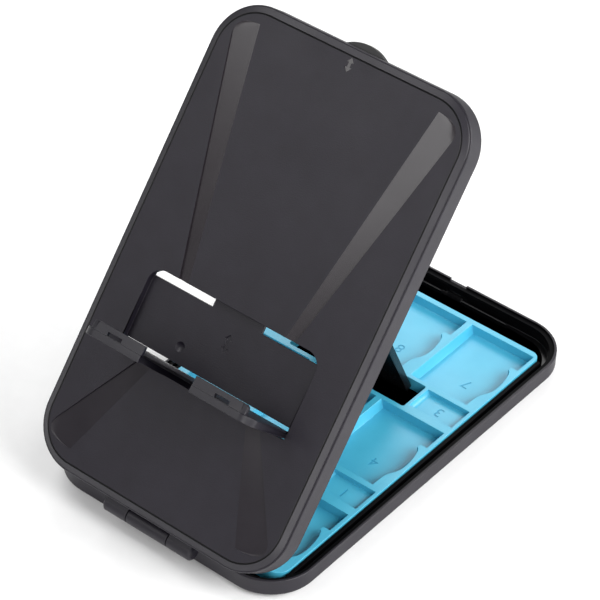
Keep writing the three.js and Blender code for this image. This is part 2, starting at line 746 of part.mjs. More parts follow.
// Tub below the window: a recessed floor with slots for the ledge's lips and root
function makeWindowTub() {
  const tub = block(
    -WINDOW_HALF_WIDTH - RECESS_WALL,
    WINDOW_HALF_WIDTH + RECESS_WALL,
    WINDOW_NEAR_EDGE - RECESS_WALL,
    WINDOW_FAR_EDGE + RECESS_WALL,
    RECESS_FLOOR_BOTTOM,
    LID_CEILING + LID_FACE_THICKNESS / 2,
  );
  const low = RECESS_FLOOR_BOTTOM - OVERRUN;
  const high = LID_HEIGHT + OVERRUN;
  const lipSlot = block(
    RECESS_NECK_HALF_WIDTH,
    WINDOW_HALF_WIDTH,
    WINDOW_FAR_EDGE - LIP_SLOT_LENGTH,
    WINDOW_FAR_EDGE + RECESS_WALL + OVERRUN,
    low,
    high,
  );
  const rootSlot = block(
    -WINDOW_HALF_WIDTH,
    WINDOW_HALF_WIDTH,
    WINDOW_NEAR_EDGE - RECESS_WALL - OVERRUN,
    BARREL_SLOT_END,
    low,
    high,
  );
  return tub.subtract(bothSides(lipSlot)).subtract(rootSlot);
}

// Pivot boss of the leg, hung from the lid's ceiling
function makeLegBoss() {
  const inside = LEG_HALF_WIDTH + MOULDED_GAP;
  return block(
    inside,
    inside + LEG_BOSS_THICKNESS,
    LEG_PIVOT_DISTANCE - LEG_BOSS_HALF_WIDTH,
    LEG_PIVOT_DISTANCE + LEG_BOSS_HALF_WIDTH,
    -LEG_BOSS_DROP,
    LID_CEILING + LID_FACE_THICKNESS / 2,
  );
}

// Lid shell, in its own frame: Y from the hinge side, Z up from the rim
function makeLidShell() {
  let shell = caseBody([
    [RIM_ROUND, 0],
    [0, 0, RIM_ROUND],
    [0, LID_HEIGHT - FACE_BEVEL_RISE, CREASE_ROUND],
    [FACE_BEVEL_INSET, LID_HEIGHT, CREASE_ROUND],
    [FACE_BEVEL_INSET + CREASE_ROUND, LID_HEIGHT],
  ]);

  // Tongue that drops inside the lip of the base
  const tongueInset = LIP_WIDTH + MOULDED_GAP;
  const tongueTip = TONGUE_GAP - LIP_DROP;
  const tongue = slab(caseOutline(tongueInset), tongueTip, LID_CEILING / 2);
  const hollow = slab(caseOutline(RIM_WIDTH), tongueTip - OVERRUN, LID_CEILING);
  shell = shell.add(tongue).subtract(hollow);

  shell = shell.add(makeWindowTub()).add(bothSides(makeLegBoss()));
  shell = shell.subtract(slab(windowOutline(), RECESS_FLOOR_TOP, LID_HEIGHT + OVERRUN));

  // Flutes on both sides of the window
  const farFlute = makeFlute(FAR_FLUTE_SHARES, WINDOW_FAR_EDGE, CASE_LENGTH);
  const nearFlute = makeFlute(NEAR_FLUTE_SHARES, WINDOW_NEAR_EDGE, 0);
  shell = shell.subtract(bothSides(farFlute)).subtract(bothSides(nearFlute));

  // Round dimple in the recessed floor
  const dimpleSphere = (DIMPLE_RADIUS ** 2 + DIMPLE_DEPTH ** 2) / (2 * DIMPLE_DEPTH);
  const dimple = new THREE.SphereGeometry(dimpleSphere, ROUND_SEGMENTS, ROUND_SEGMENTS);
  dimple.rotateX(Math.PI / 2);
  dimple.translate(
    DIMPLE_X_SHARE * WINDOW_HALF_WIDTH,
    WINDOW_NEAR_EDGE + DIMPLE_Y_SHARE * (WINDOW_FAR_EDGE - WINDOW_NEAR_EDGE),
    RECESS_FLOOR_TOP + dimpleSphere - DIMPLE_DEPTH,
  );
  shell = shell.subtract(solid(dimple));

  // Sockets of the ledge and of the leg
  const ledgeSocket = rod(
    LEDGE_STUB_RADIUS + PIVOT_GAP,
    WINDOW_HALF_WIDTH - OVERRUN,
    LEDGE_HALF_WIDTH + LEDGE_STUB_LENGTH + MOULDED_GAP,
    LEDGE_AXIS_Y,
    LEDGE_AXIS_HEIGHT,
    PIN_SEGMENTS,
  );
  const legSocket = rod(
    LEG_STUB_RADIUS + PIVOT_GAP,
    LEG_HALF_WIDTH - OVERRUN,
    LEG_HALF_WIDTH + LEG_STUB_LENGTH + MOULDED_GAP,
    LEG_PIVOT_DISTANCE,
    LEG_PIVOT_HEIGHT,
    PIN_SEGMENTS,
  );
  shell = shell.subtract(bothSides(ledgeSocket)).subtract(bothSides(legSocket));

  // Slot in the far wall for the latch
  const latchSlot = block(
    -LATCH_HALF_WIDTH - MOULDED_GAP,
    LATCH_HALF_WIDTH + MOULDED_GAP,
    CASE_LENGTH - RIM_WIDTH - OVERRUN,
    CASE_LENGTH + OVERRUN,
    tongueTip - OVERRUN,
    LATCH_HEIGHT + MOULDED_GAP,
  );
  shell = shell.subtract(latchSlot);

  // Outer knuckles with chamfered ends
  const webTop = KNUCKLE_RADIUS * Math.sin(Math.PI / 3);
  const webBottom = 2 * MOULDED_GAP - HINGE_ABOVE_RIM;
  const chamfered = endChamfer(KNUCKLE_RADIUS, KNUCKLE_CHAMFER, HINGE_HALF_LENGTH, -HINGE_SETBACK, 0);
  const outer = knuckle(
    MIDDLE_KNUCKLE_HALF_LENGTH + MOULDED_GAP,
    HINGE_HALF_LENGTH - KNUCKLE_CHAMFER,
    webTop,
    webBottom,
  ).add(chamfered.intersect(rod(
    KNUCKLE_RADIUS,
    HINGE_HALF_LENGTH - KNUCKLE_CHAMFER,
    HINGE_HALF_LENGTH,
    -HINGE_SETBACK,
    0,
    ROUND_SEGMENTS,
  )));
  const bore = rod(
    HINGE_BORE_RADIUS,
    0,
    HINGE_HALF_LENGTH - HINGE_PIN_INSET + MOULDED_GAP,
    -HINGE_SETBACK,
    0,
    PIN_SEGMENTS,
  );
  const knuckles = bothSides(outer.subtract(bore)).translate([0, 0, HINGE_ABOVE_RIM]);
  return shell.add(knuckles);
}

// Latch in the lid's far wall: a thumb tab outside and a barbed hook inside
function makeThumbLatch() {
  const tabRadius = (LATCH_HALF_WIDTH ** 2 + LATCH_PROUD ** 2) / (2 * LATCH_PROUD);
  const tabAngle = Math.asin(LATCH_HALF_WIDTH / tabRadius);
  const tab = new THREE.Path();
  tab.moveTo(-LATCH_HALF_WIDTH, CASE_LENGTH - RIM_WIDTH - MOULDED_GAP);
  tab.lineTo(LATCH_HALF_WIDTH, CASE_LENGTH - RIM_WIDTH - MOULDED_GAP);
  tab.absarc(
    0,
    CASE_LENGTH + LATCH_PROUD - tabRadius,
    tabRadius,
    Math.PI / 2 - tabAngle,
    Math.PI / 2 + tabAngle,
  );
  const plate = slab(outlinePoints(tab, CORNER_DIVISIONS), 0, LATCH_HEIGHT);
  const back = CASE_LENGTH - RIM_WIDTH - MOULDED_GAP;
  const hook = along(
    profileOf([
      [back + RIM_WIDTH / 2, LATCH_HEIGHT],
      [back - HOOK_THICKNESS, LATCH_HEIGHT],
      [back - HOOK_THICKNESS, -HOOK_REACH],
      [back, -HOOK_REACH],
      [back + HOOK_BARB, HOOK_BARB_RISE / 2 - HOOK_REACH],
      [back, HOOK_BARB_RISE - HOOK_REACH],
      [back, 0],
      [back + RIM_WIDTH / 2, 0],
    ]),
    -HOOK_HALF_WIDTH,
    HOOK_HALF_WIDTH,
  );
  const shoulder = block(
    -LATCH_HALF_WIDTH,
    LATCH_HALF_WIDTH,
    CASE_LENGTH - RIM_WIDTH - LATCH_BODY_DEPTH / 2,
    CASE_LENGTH - RIM_WIDTH / 2,
    0,
    LATCH_HEIGHT,
  );
  return plate.add(shoulder).add(hook);
}

// Free edge of the ledge, set so that its lips swing clear of the window
function ledgeReach() {
  const swing = WINDOW_FAR_EDGE - LEDGE_AXIS_Y - LEDGE_SWING_GAP;
  return Math.sqrt(swing ** 2 - LEDGE_LIP_TIP ** 2);
}

// Outline of the ledge about its axis, moved in from its free edge and sides
function ledgeOutline(inset) {
  const side = LEDGE_HALF_WIDTH - inset;
  const radius = WINDOW_FAR_RADIUS - MOULDED_GAP - inset;
  const end = ledgeReach() - inset;
  const path = new THREE.Path();
  path.moveTo(-side, 0);
  path.lineTo(side, 0);
  path.absarc(side - radius, end - radius, radius, 0, Math.PI / 2);
  path.absarc(radius - side, end - radius, radius, Math.PI / 2, Math.PI);
  return outlinePoints(path, CORNER_DIVISIONS);
}

// Sloped cable notch between the lips, deeper on the inner face of the ledge
function makeCableNotch() {
  const reach = ledgeReach();
  const level = (depth, height) => {
    const points = [];
    for (let step = 0; step <= NOTCH_STEPS; step += 1) {
      const angle = Math.PI + Math.PI * step / NOTCH_STEPS;
      points.push(new THREE.Vector2(
        LEDGE_LIP_START * Math.cos(angle),
        reach + depth * Math.sin(angle),
      ));
    }
    points.push(new THREE.Vector2(LEDGE_LIP_START, reach + OVERRUN));
    points.push(new THREE.Vector2(-LEDGE_LIP_START, reach + OVERRUN));
    return ring(points, height);
  };
  const slope = (NOTCH_INNER_DEPTH - NOTCH_OUTER_DEPTH) / LEDGE_THICKNESS;
  const past = MOULDED_GAP * slope;
  return stack([
    level(NOTCH_INNER_DEPTH + past, -LEDGE_ROOT_RADIUS - MOULDED_GAP),
    level(NOTCH_OUTER_DEPTH - past, LEDGE_ROOT_RADIUS + MOULDED_GAP),
  ]);
}

// Ledge about its axis, drawn as it lies shut in the window
function makeLedge() {
  const plate = slab(ledgeOutline(0), -LEDGE_ROOT_RADIUS, LEDGE_ROOT_RADIUS);
  const root = rod(LEDGE_ROOT_RADIUS, -LEDGE_HALF_WIDTH, LEDGE_HALF_WIDTH, 0, 0, PIN_SEGMENTS);
  const stub = rod(
    LEDGE_STUB_RADIUS,
    LEDGE_HALF_WIDTH - OVERRUN,
    LEDGE_HALF_WIDTH + LEDGE_STUB_LENGTH,
    0,
    0,
    PIN_SEGMENTS,
  );

  // Lips follow the ledge's edge and end in rounded corners
  const band = slab(ledgeOutline(LEDGE_LIP_SETBACK), LEDGE_LIP_TIP, 0)
    .subtract(slab(ledgeOutline(LEDGE_LIP_THICKNESS), LEDGE_LIP_TIP - OVERRUN, OVERRUN));
  const reach = ledgeReach();
  const lipFace = new THREE.Path();
  lipFace.moveTo(LEDGE_LIP_START, 0);
  lipFace.lineTo(LEDGE_LIP_START, LEDGE_LIP_TIP);
  lipFace.lineTo(LEDGE_LIP_END - LEDGE_LIP_END_RADIUS, LEDGE_LIP_TIP);
  lipFace.quadraticCurveTo(
    LEDGE_LIP_END,
    LEDGE_LIP_TIP,
    LEDGE_LIP_END,
    LEDGE_LIP_TIP + LEDGE_LIP_END_RADIUS,
  );
  lipFace.lineTo(LEDGE_LIP_END, 0);
  const lipShape = new THREE.Shape(outlinePoints(lipFace, SMALL_CORNER_DIVISIONS * 2));
  const lipSides = new THREE.ExtrudeGeometry(lipShape, { depth: reach, bevelEnabled: false });
  lipSides.rotateX(Math.PI / 2);
  lipSides.translate(0, reach + OVERRUN, 0);
  const lip = band.intersect(solid(lipSides));
  const slot = block(
    LEDGE_SLOT_CENTRE - LEDGE_SLOT_LENGTH / 2,
    LEDGE_SLOT_CENTRE + LEDGE_SLOT_LENGTH / 2,
    reach - LEDGE_LIP_THICKNESS - OVERRUN,
    reach + OVERRUN,
    LEDGE_ROOT_RADIUS - LEDGE_SLOT_DROP - LEDGE_SLOT_WIDTH / 2,
    LEDGE_ROOT_RADIUS - LEDGE_SLOT_DROP + LEDGE_SLOT_WIDTH / 2,
  );
  return plate
    .add(root)
    .add(bothSides(stub))
    .add(bothSides(lip))
    .subtract(bothSides(slot))
    .subtract(makeCableNotch());
}

// Prop leg about its pivot, drawn pointing to the free end of the lid
function makePropLeg() {
  const profile = new THREE.Shape();
  profile.absarc(0, 0, LEG_PIVOT_RADIUS, Math.PI / 2, 1.5 * Math.PI);
  profile.absarc(LEG_LENGTH, 0, LEG_PIVOT_RADIUS, -Math.PI / 2, Math.PI / 2);
  const plate = along(profile, -LEG_HALF_WIDTH, LEG_HALF_WIDTH);
  const plan = roundedRectangle(
    -LEG_HALF_WIDTH,
    LEG_HALF_WIDTH,
    -LEG_THICKNESS,
    LEG_LENGTH + LEG_PIVOT_RADIUS,
    LEG_FOOT_CORNER / 2,
    LEG_FOOT_CORNER,
  );
  const planPoints = outlinePoints(plan, SMALL_CORNER_DIVISIONS);
  const trimmed = plate.intersect(slab(planPoints, -LEG_THICKNESS, LEG_THICKNESS));
  const stub = rod(
    LEG_STUB_RADIUS,
    LEG_HALF_WIDTH - OVERRUN,
    LEG_HALF_WIDTH + LEG_STUB_LENGTH,
    0,
    0,
    PIN_SEGMENTS,
  );
  return trimmed.add(bothSides(stub));
}

// Base, drawn from its hinge wall
const base = new THREE.Group();
base.position.set(0, -CASE_LENGTH / 2, 0);
base.add(piece('base_shell', makeBaseShell(), shellPlastic));
base.add(piece('card_tray', makeCardTray(), trayPlastic));
base.add(piece('hinge_pin', makeHingePin(), pinSteel));
const footNames = ['foot_hinge_left', 'foot_hinge_right', 'foot_front_left', 'foot_front_right'];
footPlaces().forEach(([x, y], i) => {
  const foot = piece(footNames[i], makeFoot(), footRubber);
  foot.position.set(x, y, 0);
  base.add(foot);
});

// Lid turns about the hinge pin
const [lidAngle, legAngle] = standingAngles();
const lidHinge = new THREE.Group();
lidHinge.position.set(0, -HINGE_SETBACK, HINGE_HEIGHT);
lidHinge.rotation.x = lidAngle;
base.add(lidHinge);
const lid = new THREE.Group();
lid.position.set(0, HINGE_SETBACK, -HINGE_ABOVE_RIM);
lid.add(piece('lid_shell', makeLidShell(), shellPlastic));
lid.add(piece('thumb_latch', makeThumbLatch(), innerPlastic));
lidHinge.add(lid);

// Ledge turns in the window
const ledge = piece('ledge_flap', makeLedge(), shellPlastic);
ledge.position.set(0, LEDGE_AXIS_Y, LEDGE_AXIS_HEIGHT);
ledge.rotation.x = THREE.MathUtils.degToRad(LEDGE_OPEN_DEGREES);
lid.add(ledge);

// Leg hangs from the lid, with its foot in the hole of the tray
const leg = piece('prop_leg', makePropLeg(), innerPlastic);
leg.position.set(0, LEG_PIVOT_DISTANCE, LEG_PIVOT_HEIGHT);
leg.rotation.x = legAngle;
lid.add(leg);

const holder = new THREE.Group();
holder.add(base);

export default holder;
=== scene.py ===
import json
import math

import bmesh
import bpy
from mathutils import Euler, Matrix, Vector
from mathutils.geometry import interpolate_bezier


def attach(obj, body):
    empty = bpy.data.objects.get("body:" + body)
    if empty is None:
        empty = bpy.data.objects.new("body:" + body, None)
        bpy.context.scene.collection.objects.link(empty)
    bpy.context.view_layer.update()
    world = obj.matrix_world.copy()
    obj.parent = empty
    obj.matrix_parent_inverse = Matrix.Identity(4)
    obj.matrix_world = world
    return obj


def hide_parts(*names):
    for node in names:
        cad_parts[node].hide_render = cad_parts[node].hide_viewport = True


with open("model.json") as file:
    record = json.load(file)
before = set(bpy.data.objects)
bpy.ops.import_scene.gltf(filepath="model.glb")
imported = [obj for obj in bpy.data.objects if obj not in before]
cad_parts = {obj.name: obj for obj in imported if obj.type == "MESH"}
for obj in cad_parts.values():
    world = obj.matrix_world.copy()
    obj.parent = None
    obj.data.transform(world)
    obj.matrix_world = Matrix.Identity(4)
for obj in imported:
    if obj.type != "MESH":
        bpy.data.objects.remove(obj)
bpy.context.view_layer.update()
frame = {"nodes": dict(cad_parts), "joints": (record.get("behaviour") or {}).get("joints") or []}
cad = frame["nodes"]

# Camera
# A long lens above the right end of the hinge, looking down at the lid's outer face.
camera_data = bpy.data.cameras.new("camera")
camera_data.lens = 171.7735
camera_data.sensor_width = 36
camera_data.clip_start = 0.05
camera_data.clip_end = 20
camera = bpy.data.objects.new("camera", camera_data)
camera.location = (0.395695, -0.529138, 0.592417)
camera.rotation_euler = Euler([math.radians(a) for a in (50.319589, -1.988985, 38.986913)])
bpy.context.scene.collection.objects.link(camera)
bpy.context.scene.camera = camera
bpy.context.scene.view_settings.view_transform = "Standard"

# Base shell
# The lower half of the case, one charcoal moulding with a grained outside and a polished inside.
# The step in its rim takes the lid's tongue. The step and the rails beside the tray get a darker,
# duller copy of the polished black, which is painted shade that keeps them black where a lamp would
# show in them. A low ridge and a catch ramp stand beyond the tray, and the hinge's middle knuckle
# is on the near wall.
mm = 0.001
case_width = 92 * mm
case_length = 149 * mm
corner_radius = 15.6 * mm
base_height = 6.6 * mm
bevel_inset = 2.3 * mm
bevel_rise = 1.15 * mm
crease_round = 0.5 * mm
rim_round = 0.25 * mm
lip_width = 0.85 * mm
lip_drop = 0.8 * mm
rim_width = 2.35 * mm
floor_thickness = 1.2 * mm
floor_ledge_width = 2.15 * mm
floor_ledge_height = 0.6 * mm
floor_near_radius = 8.5 * mm
floor_far_radius = 11 * mm
overrun = 1 * mm
fit_gap = 0.3 * mm
edge_round = 0.14 * mm
merge_distance = mm / 1000
speck_length = mm / 500
sliver_length = mm / 200
flat_angle = math.radians(0.05)
sharp_angle = math.radians(28)
smooth_angle = math.radians(32)
upright_normal = 0.9
corner_steps = 16
edge_steps = 3
rod_sides = 48
post_sides = 64

tray_half_width = 40.9 * mm
tray_near_edge = 6.95 * mm
tray_far_edge = 136.8 * mm
tray_top = 6.05 * mm
rail_width = 1.2 * mm
rail_end = 2.3 * mm
rail_drop = 0.5 * mm
ridge_half_length = 21.9 * mm
ridge_width = 0.8 * mm
ridge_height = 2.2 * mm
ridge_setback = 3.8 * mm
catch_half_width = 3.2 * mm
catch_rise = 0.7 * mm
catch_recess = 0.8 * mm
catch_top = 3.9 * mm

hinge_setback = 2.85 * mm
hinge_height = 7.2 * mm
knuckle_radius = 2.45 * mm
middle_knuckle = 7.6 * mm
web_angle = math.radians(60)
hinge_half_length = 16.9 * mm
pin_hole_radius = 1 * mm
foot_radius = 4 * mm
foot_seat_depth = 0.5 * mm
foot_inset = 15 * mm

gloss_scale = 45
gloss_detail = 3
colour_scale = 160
colour_detail = 5
grain_detail = 2
noise_low = 0.3
noise_high = 0.7


def link_noise(tree, scale, detail, target, low, high):
    """Feeds a noise in object space, spread between two values, to a socket."""
    place = tree.nodes.new("ShaderNodeTexCoord")
    noise = tree.nodes.new("ShaderNodeTexNoise")
    noise.inputs["Scale"].default_value = scale
    noise.inputs["Detail"].default_value = detail
    spread = tree.nodes.new("ShaderNodeMapRange")
    spread.inputs["From Min"].default_value = noise_low
    spread.inputs["From Max"].default_value = noise_high
    spread.inputs["To Min"].default_value = low
    spread.inputs["To Max"].default_value = high
    tree.links.new(place.outputs["Object"], noise.inputs["Vector"])
    tree.links.new(noise.outputs["Fac"], spread.inputs["Value"])
    tree.links.new(spread.outputs["Result"], target)


def moulding(name, dark, light, roughness, grain, grain_depth, specular=0.5, metallic=0):
    """Material of a moulded piece: a grain, and a colour and gloss that drift a little."""
    material = bpy.data.materials.new(name)
    material.use_nodes = True
    tree = material.node_tree
    shader = tree.nodes["Principled BSDF"]
    shader.inputs["Specular IOR Level"].default_value = specular
    shader.inputs["Metallic"].default_value = metallic
    link_noise(tree, gloss_scale, gloss_detail, shader.inputs["Roughness"], *roughness)
    mix = tree.nodes.new("ShaderNodeMix")
    mix.data_type = "RGBA"
    mix.inputs["A"].default_value = (*dark, 1)
    mix.inputs["B"].default_value = (*light, 1)
    link_noise(tree, colour_scale, colour_detail, mix.inputs["Factor"], 0, 1)
    tree.links.new(mix.outputs["Result"], shader.inputs["Base Color"])
    bump = tree.nodes.new("ShaderNodeBump")
    bump.inputs["Distance"].default_value = grain_depth
    link_noise(tree, grain, grain_detail, bump.inputs["Height"], 0, 1)
    tree.links.new(bump.outputs["Normal"], shader.inputs["Normal"])
    return material


def press(shape, face, inset, lift):
    """Moves a face in from its border, up or down, and leaves sloped walls behind it."""
    bmesh.ops.inset_individual(shape, faces=[face], thickness=inset, use_even_offset=True)
    bmesh.ops.translate(shape, vec=(0, 0, lift), verts=face.verts)


def pull(shape, faces, along=(0, 0, 0)):
    """Closes faces to a body, by a moved copy and walls. Gives the copy's vertices."""
    pulled = bmesh.ops.extrude_face_region(shape, geom=faces, use_keep_orig=True)
    moved = [item for item in pulled["geom"] if isinstance(item, bmesh.types.BMVert)]
    bmesh.ops.translate(shape, vec=along, verts=moved)
    return moved


def soften(shape, geometry, size, steps, affect="EDGES"):
    """Rounds edges, or the corners of a flat outline."""
    bmesh.ops.bevel(
        shape, geom=geometry, offset=size, offset_type="OFFSET", segments=steps,
        profile=0.5, affect=affect, material=-1,
    )


def plate(x_low, x_high, y_low, y_high, near_radius, far_radius, bottom, top):
    """Slab with one radius on its near corners and one on its far corners."""
    shape = bmesh.new()
    bmesh.ops.create_grid(shape, x_segments=1, y_segments=1, size=0.5)
    bmesh.ops.scale(shape, vec=(x_high - x_low, y_high - y_low, 1), verts=shape.verts)
    middle = Vector(((x_low + x_high) / 2, (y_low + y_high) / 2, bottom))
    bmesh.ops.translate(shape, vec=middle, verts=shape.verts)
    for radius, edge in ((near_radius, y_low), (far_radius, y_high)):
        corners = [vert for vert in shape.verts if abs(vert.co.y - edge) < merge_distance]
        if radius:
            soften(shape, corners, radius, corner_steps, "VERTICES")
    pull(shape, shape.faces[:], (0, 0, top - bottom))
    return shape


def case_plate(inset, bottom, top):
    """Slab with the outline of the case, moved in from its outside."""
    side = case_width / 2 - inset
    radius = corner_radius - inset
    return plate(-side, side, inset, case_length - inset, radius, radius, bottom, top)


def block(x_low, x_high, y_low, y_high, z_low, z_high):
    """Box from its limits."""
    shape = bmesh.new()
    middle = ((x_low + x_high) / 2, (y_low + y_high) / 2, (z_low + z_high) / 2)
    size = (x_high - x_low, y_high - y_low, z_high - z_low)
    place = Matrix.Translation(middle) @ Matrix.Diagonal((*size, 1))
    bmesh.ops.create_cube(shape, size=1, matrix=place)
    return shape


def rod(radius, x_low, x_high, y, z, end_radius=None):
    """Rod along X, or a cone if its two ends differ."""
    shape = bmesh.new()
    place = Matrix.Translation(((x_low + x_high) / 2, y, z)) @ Matrix.Rotation(math.pi / 2, 4, "Y")
    bmesh.ops.create_cone(
        shape, cap_ends=True, segments=rod_sides, radius1=radius,
        radius2=radius if end_radius is None else end_radius, depth=x_high - x_low, matrix=place,
    )
    return shape


def post(radius, x, y, bottom, top, sides=post_sides):
    """Upright round post."""
    shape = bmesh.new()
    bmesh.ops.create_cone(
        shape, cap_ends=True, segments=sides, radius1=radius, radius2=radius,
        depth=top - bottom, matrix=Matrix.Translation((x, y, (bottom + top) / 2)),
    )
    return shape


def prism(profile, x_low, x_high):
    """Profile of Y and Z points, pulled along X."""
    shape = bmesh.new()
    face = shape.faces.new([shape.verts.new((x_low, y, z)) for y, z in profile])
    pull(shape, [face], (x_high - x_low, 0, 0))
    return shape


def both_sides(shape):
    """The shape and its mirror image across the middle of the case."""
    everything = shape.verts[:] + shape.edges[:] + shape.faces[:]
    bmesh.ops.mirror(shape, geom=everything, matrix=Matrix(), merge_dist=0, axis="X")
    return shape


def round_loop(shape, height, size):
    """Rounds the edges that lie at one height."""
    loop = [
        edge for edge in shape.edges
        if all(abs(vert.co.z - height) < merge_distance for vert in edge.verts)
    ]
    soften(shape, loop, size, edge_steps)


def solid(name, shape, material):
    """Object made of a closed shape."""
    bmesh.ops.recalc_face_normals(shape, faces=shape.faces)
    mesh = bpy.data.meshes.new(name)
    shape.to_mesh(mesh)
    shape.free()
    mesh.materials.append(material)
    piece = bpy.data.objects.new(name, mesh)
    bpy.context.scene.collection.objects.link(piece)
    return piece


def settle(piece):
    """Puts what the modifiers make of a piece in its mesh."""
    depsgraph = bpy.context.evaluated_depsgraph_get()
    mesh = bpy.data.meshes.new_from_object(piece.evaluated_get(depsgraph))
    piece.modifiers.clear()
    piece.data = mesh
    mesh.name = piece.name


def combine(piece, operation, shapes, material):
    """Joins closed shapes to a piece, cuts them from it, or keeps what they share."""
    tools = [solid("tool", shape, material) for shape in shapes]
    for tool in tools:
        boolean = piece.modifiers.new("combine", "BOOLEAN")
        boolean.operation = operation
        boolean.solver = "EXACT"
        boolean.material_mode = "TRANSFER"
        boolean.object = tool
    settle(piece)
    for tool in tools:
        bpy.data.objects.remove(tool)


def round_edges(piece, size, fine=()):
    """Merges split flat faces and breaks the sharp edges, but not those of fine carving."""
    carved = [piece.data.materials.find(material.name) for material in fine]
    shape = bmesh.new()
    shape.from_mesh(piece.data)
    bmesh.ops.remove_doubles(shape, verts=shape.verts, dist=merge_distance)
    bmesh.ops.dissolve_limit(
        shape, angle_limit=flat_angle, verts=shape.verts, edges=shape.edges,
        delimit={"MATERIAL"},
    )
    bmesh.ops.dissolve_degenerate(shape, dist=sliver_length, edges=shape.edges)
    upright = [
        face for face in shape.faces
        if len(face.verts) > 4 and abs(face.normal.z) < upright_normal
    ]
    bmesh.ops.triangulate(shape, faces=upright)
    weight = shape.edges.layers.float.new("bevel_weight_edge")
    for edge in shape.edges:
        faces = edge.link_faces
        plain = not any(face.material_index in carved for face in faces)
        if plain and len(faces) == 2 and edge.calc_face_angle(0) > sharp_angle:
            edge[weight] = 1
    shape.to_mesh(piece.data)
    shape.free()
    bevel = piece.modifiers.new("edges", "BEVEL")
    bevel.width = size
    bevel.segments = edge_steps
    bevel.limit_method = "WEIGHT"
    bevel.use_clamp_overlap = False
    settle(piece)


def finish_piece(piece, place, body, node):
    """Clears specks, shades a piece, puts it in its place, hangs it on its body and hides the CAD
    part it stands for.
    """
    shape = bmesh.new()
    shape.from_mesh(piece.data)
    bmesh.ops.dissolve_degenerate(shape, dist=speck_length, edges=shape.edges)
    for face in shape.faces:
        face.smooth = True
    for edge in shape.edges:
        faces = edge.link_faces
        mixed = len(faces) == 2 and faces[0].material_index != faces[1].material_index
        edge.smooth = len(faces) == 2 and not mixed and edge.calc_face_angle(0) < smooth_angle
    bmesh.ops.transform(shape, matrix=place, verts=shape.verts)
    shape.to_mesh(piece.data)
    shape.free()
    weighted = piece.modifiers.new("normals", "WEIGHTED_NORMAL")
    weighted.keep_sharp = True
    settle(piece)
    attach(piece, body)
    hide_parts(node)


charcoal = moulding(
    "charcoal", dark=(0.0055, 0.0036, 0.0090), light=(0.0080, 0.0060, 0.0125),
    roughness=(0.44, 0.52), grain=2600, grain_depth=0.012 * mm,
)
polished = moulding(
    "polished_black", dark=(0.0018, 0.0018, 0.0022), light=(0.0030, 0.0030, 0.0036),
    roughness=(0.16, 0.22), grain=900, grain_depth=0.002 * mm, specular=0.2,
)
# Painted shade: a darker, duller copy of the polished black for the rim's step and the rails, so
# that they render black.
rim_painted_shade = moulding(
    "rim_painted_shade", dark=(0.0014, 0.0014, 0.0018), light=(0.0024, 0.0024, 0.0029),
    roughness=(0.45, 0.55), grain=900, grain_depth=0.002 * mm, specular=0.05,
)

base_shape = case_plate(0, bevel_rise, base_height)
underside = min(base_shape.faces, key=lambda face: face.calc_center_median().z)
press(base_shape, underside, bevel_inset, -bevel_rise)
round_loop(base_shape, 0, crease_round)
round_loop(base_shape, bevel_rise, crease_round)
round_loop(base_shape, base_height, rim_round)
base = solid("case_base", base_shape, charcoal)

above = base_height + overrun
floor_inset = rim_width + floor_ledge_width
floor_side = case_width / 2 - floor_inset
# The rim's step is cut with the painted-shade black.
combine(base, "DIFFERENCE", [case_plate(lip_width, base_height - lip_drop, above)], rim_painted_shade)
combine(base, "DIFFERENCE", [
    case_plate(rim_width, floor_thickness + floor_ledge_height, above),
    plate(
        -floor_side, floor_side, floor_inset, case_length - floor_inset,
        floor_near_radius, floor_far_radius, floor_thickness, above,
    ),
], polished)

rail_inside = tray_half_width + fit_gap
ridge_far = case_length - ridge_setback
ledge_top = floor_thickness + floor_ledge_height
# The rails are joined in the painted-shade black.
combine(base, "UNION", [
    both_sides(block(
        rail_inside, rail_inside + rail_width, tray_near_edge + rail_end, tray_far_edge - rail_end,
        floor_thickness / 2, tray_top - rail_drop,
    )),
], rim_painted_shade)
combine(base, "UNION", [
    both_sides(block(
        catch_half_width + lip_width, ridge_half_length, ridge_far - ridge_width, ridge_far,
        floor_thickness / 2, floor_thickness + ridge_height,
    )),
    prism([
        (ridge_far, floor_thickness / 2),
        (case_length - rim_width / 2, floor_thickness / 2),
        (case_length - rim_width / 2, ledge_top + catch_rise),
        (case_length - rim_width, ledge_top + catch_rise),
        (ridge_far, ledge_top),
    ], -catch_half_width, catch_half_width),
], polished)
combine(base, "DIFFERENCE", [
    block(
        -catch_half_width, catch_half_width, case_length - rim_width - overrun,
        case_length - rim_width + catch_recess, ledge_top + catch_rise, catch_top,
    ),
], polished)
combine(base, "DIFFERENCE", [
    block(
        -catch_half_width, catch_half_width, case_length - rim_width, case_length + overrun,
        base_height - lip_drop, above,
    ),
], charcoal)

web_drop = knuckle_radius * math.sin(web_angle)
combine(base, "UNION", [
    rod(knuckle_radius, -middle_knuckle, middle_knuckle, -hinge_setback, hinge_height),
    block(
        -middle_knuckle, middle_knuckle, -hinge_setback, rim_width / 2,
        hinge_height - web_drop, base_height,
    ),
], charcoal)
combine(base, "DIFFERENCE", [
    rod(pin_hole_radius, -hinge_half_length, hinge_half_length, -hinge_setback, hinge_height),
], polished)
foot_places = [
    (side * (case_width / 2 - foot_inset), y)
    for y in (foot_inset, case_length - foot_inset)
    for side in (-1, 1)
]
combine(base, "DIFFERENCE", [
    post(foot_radius + fit_gap, x, y, -overrun, foot_seat_depth) for x, y in foot_places
], charcoal)
round_edges(base, edge_round)
base_place = Matrix.Translation((0, -case_length / 2, 0))
finish_piece(base, base_place, "base", "base_shell")

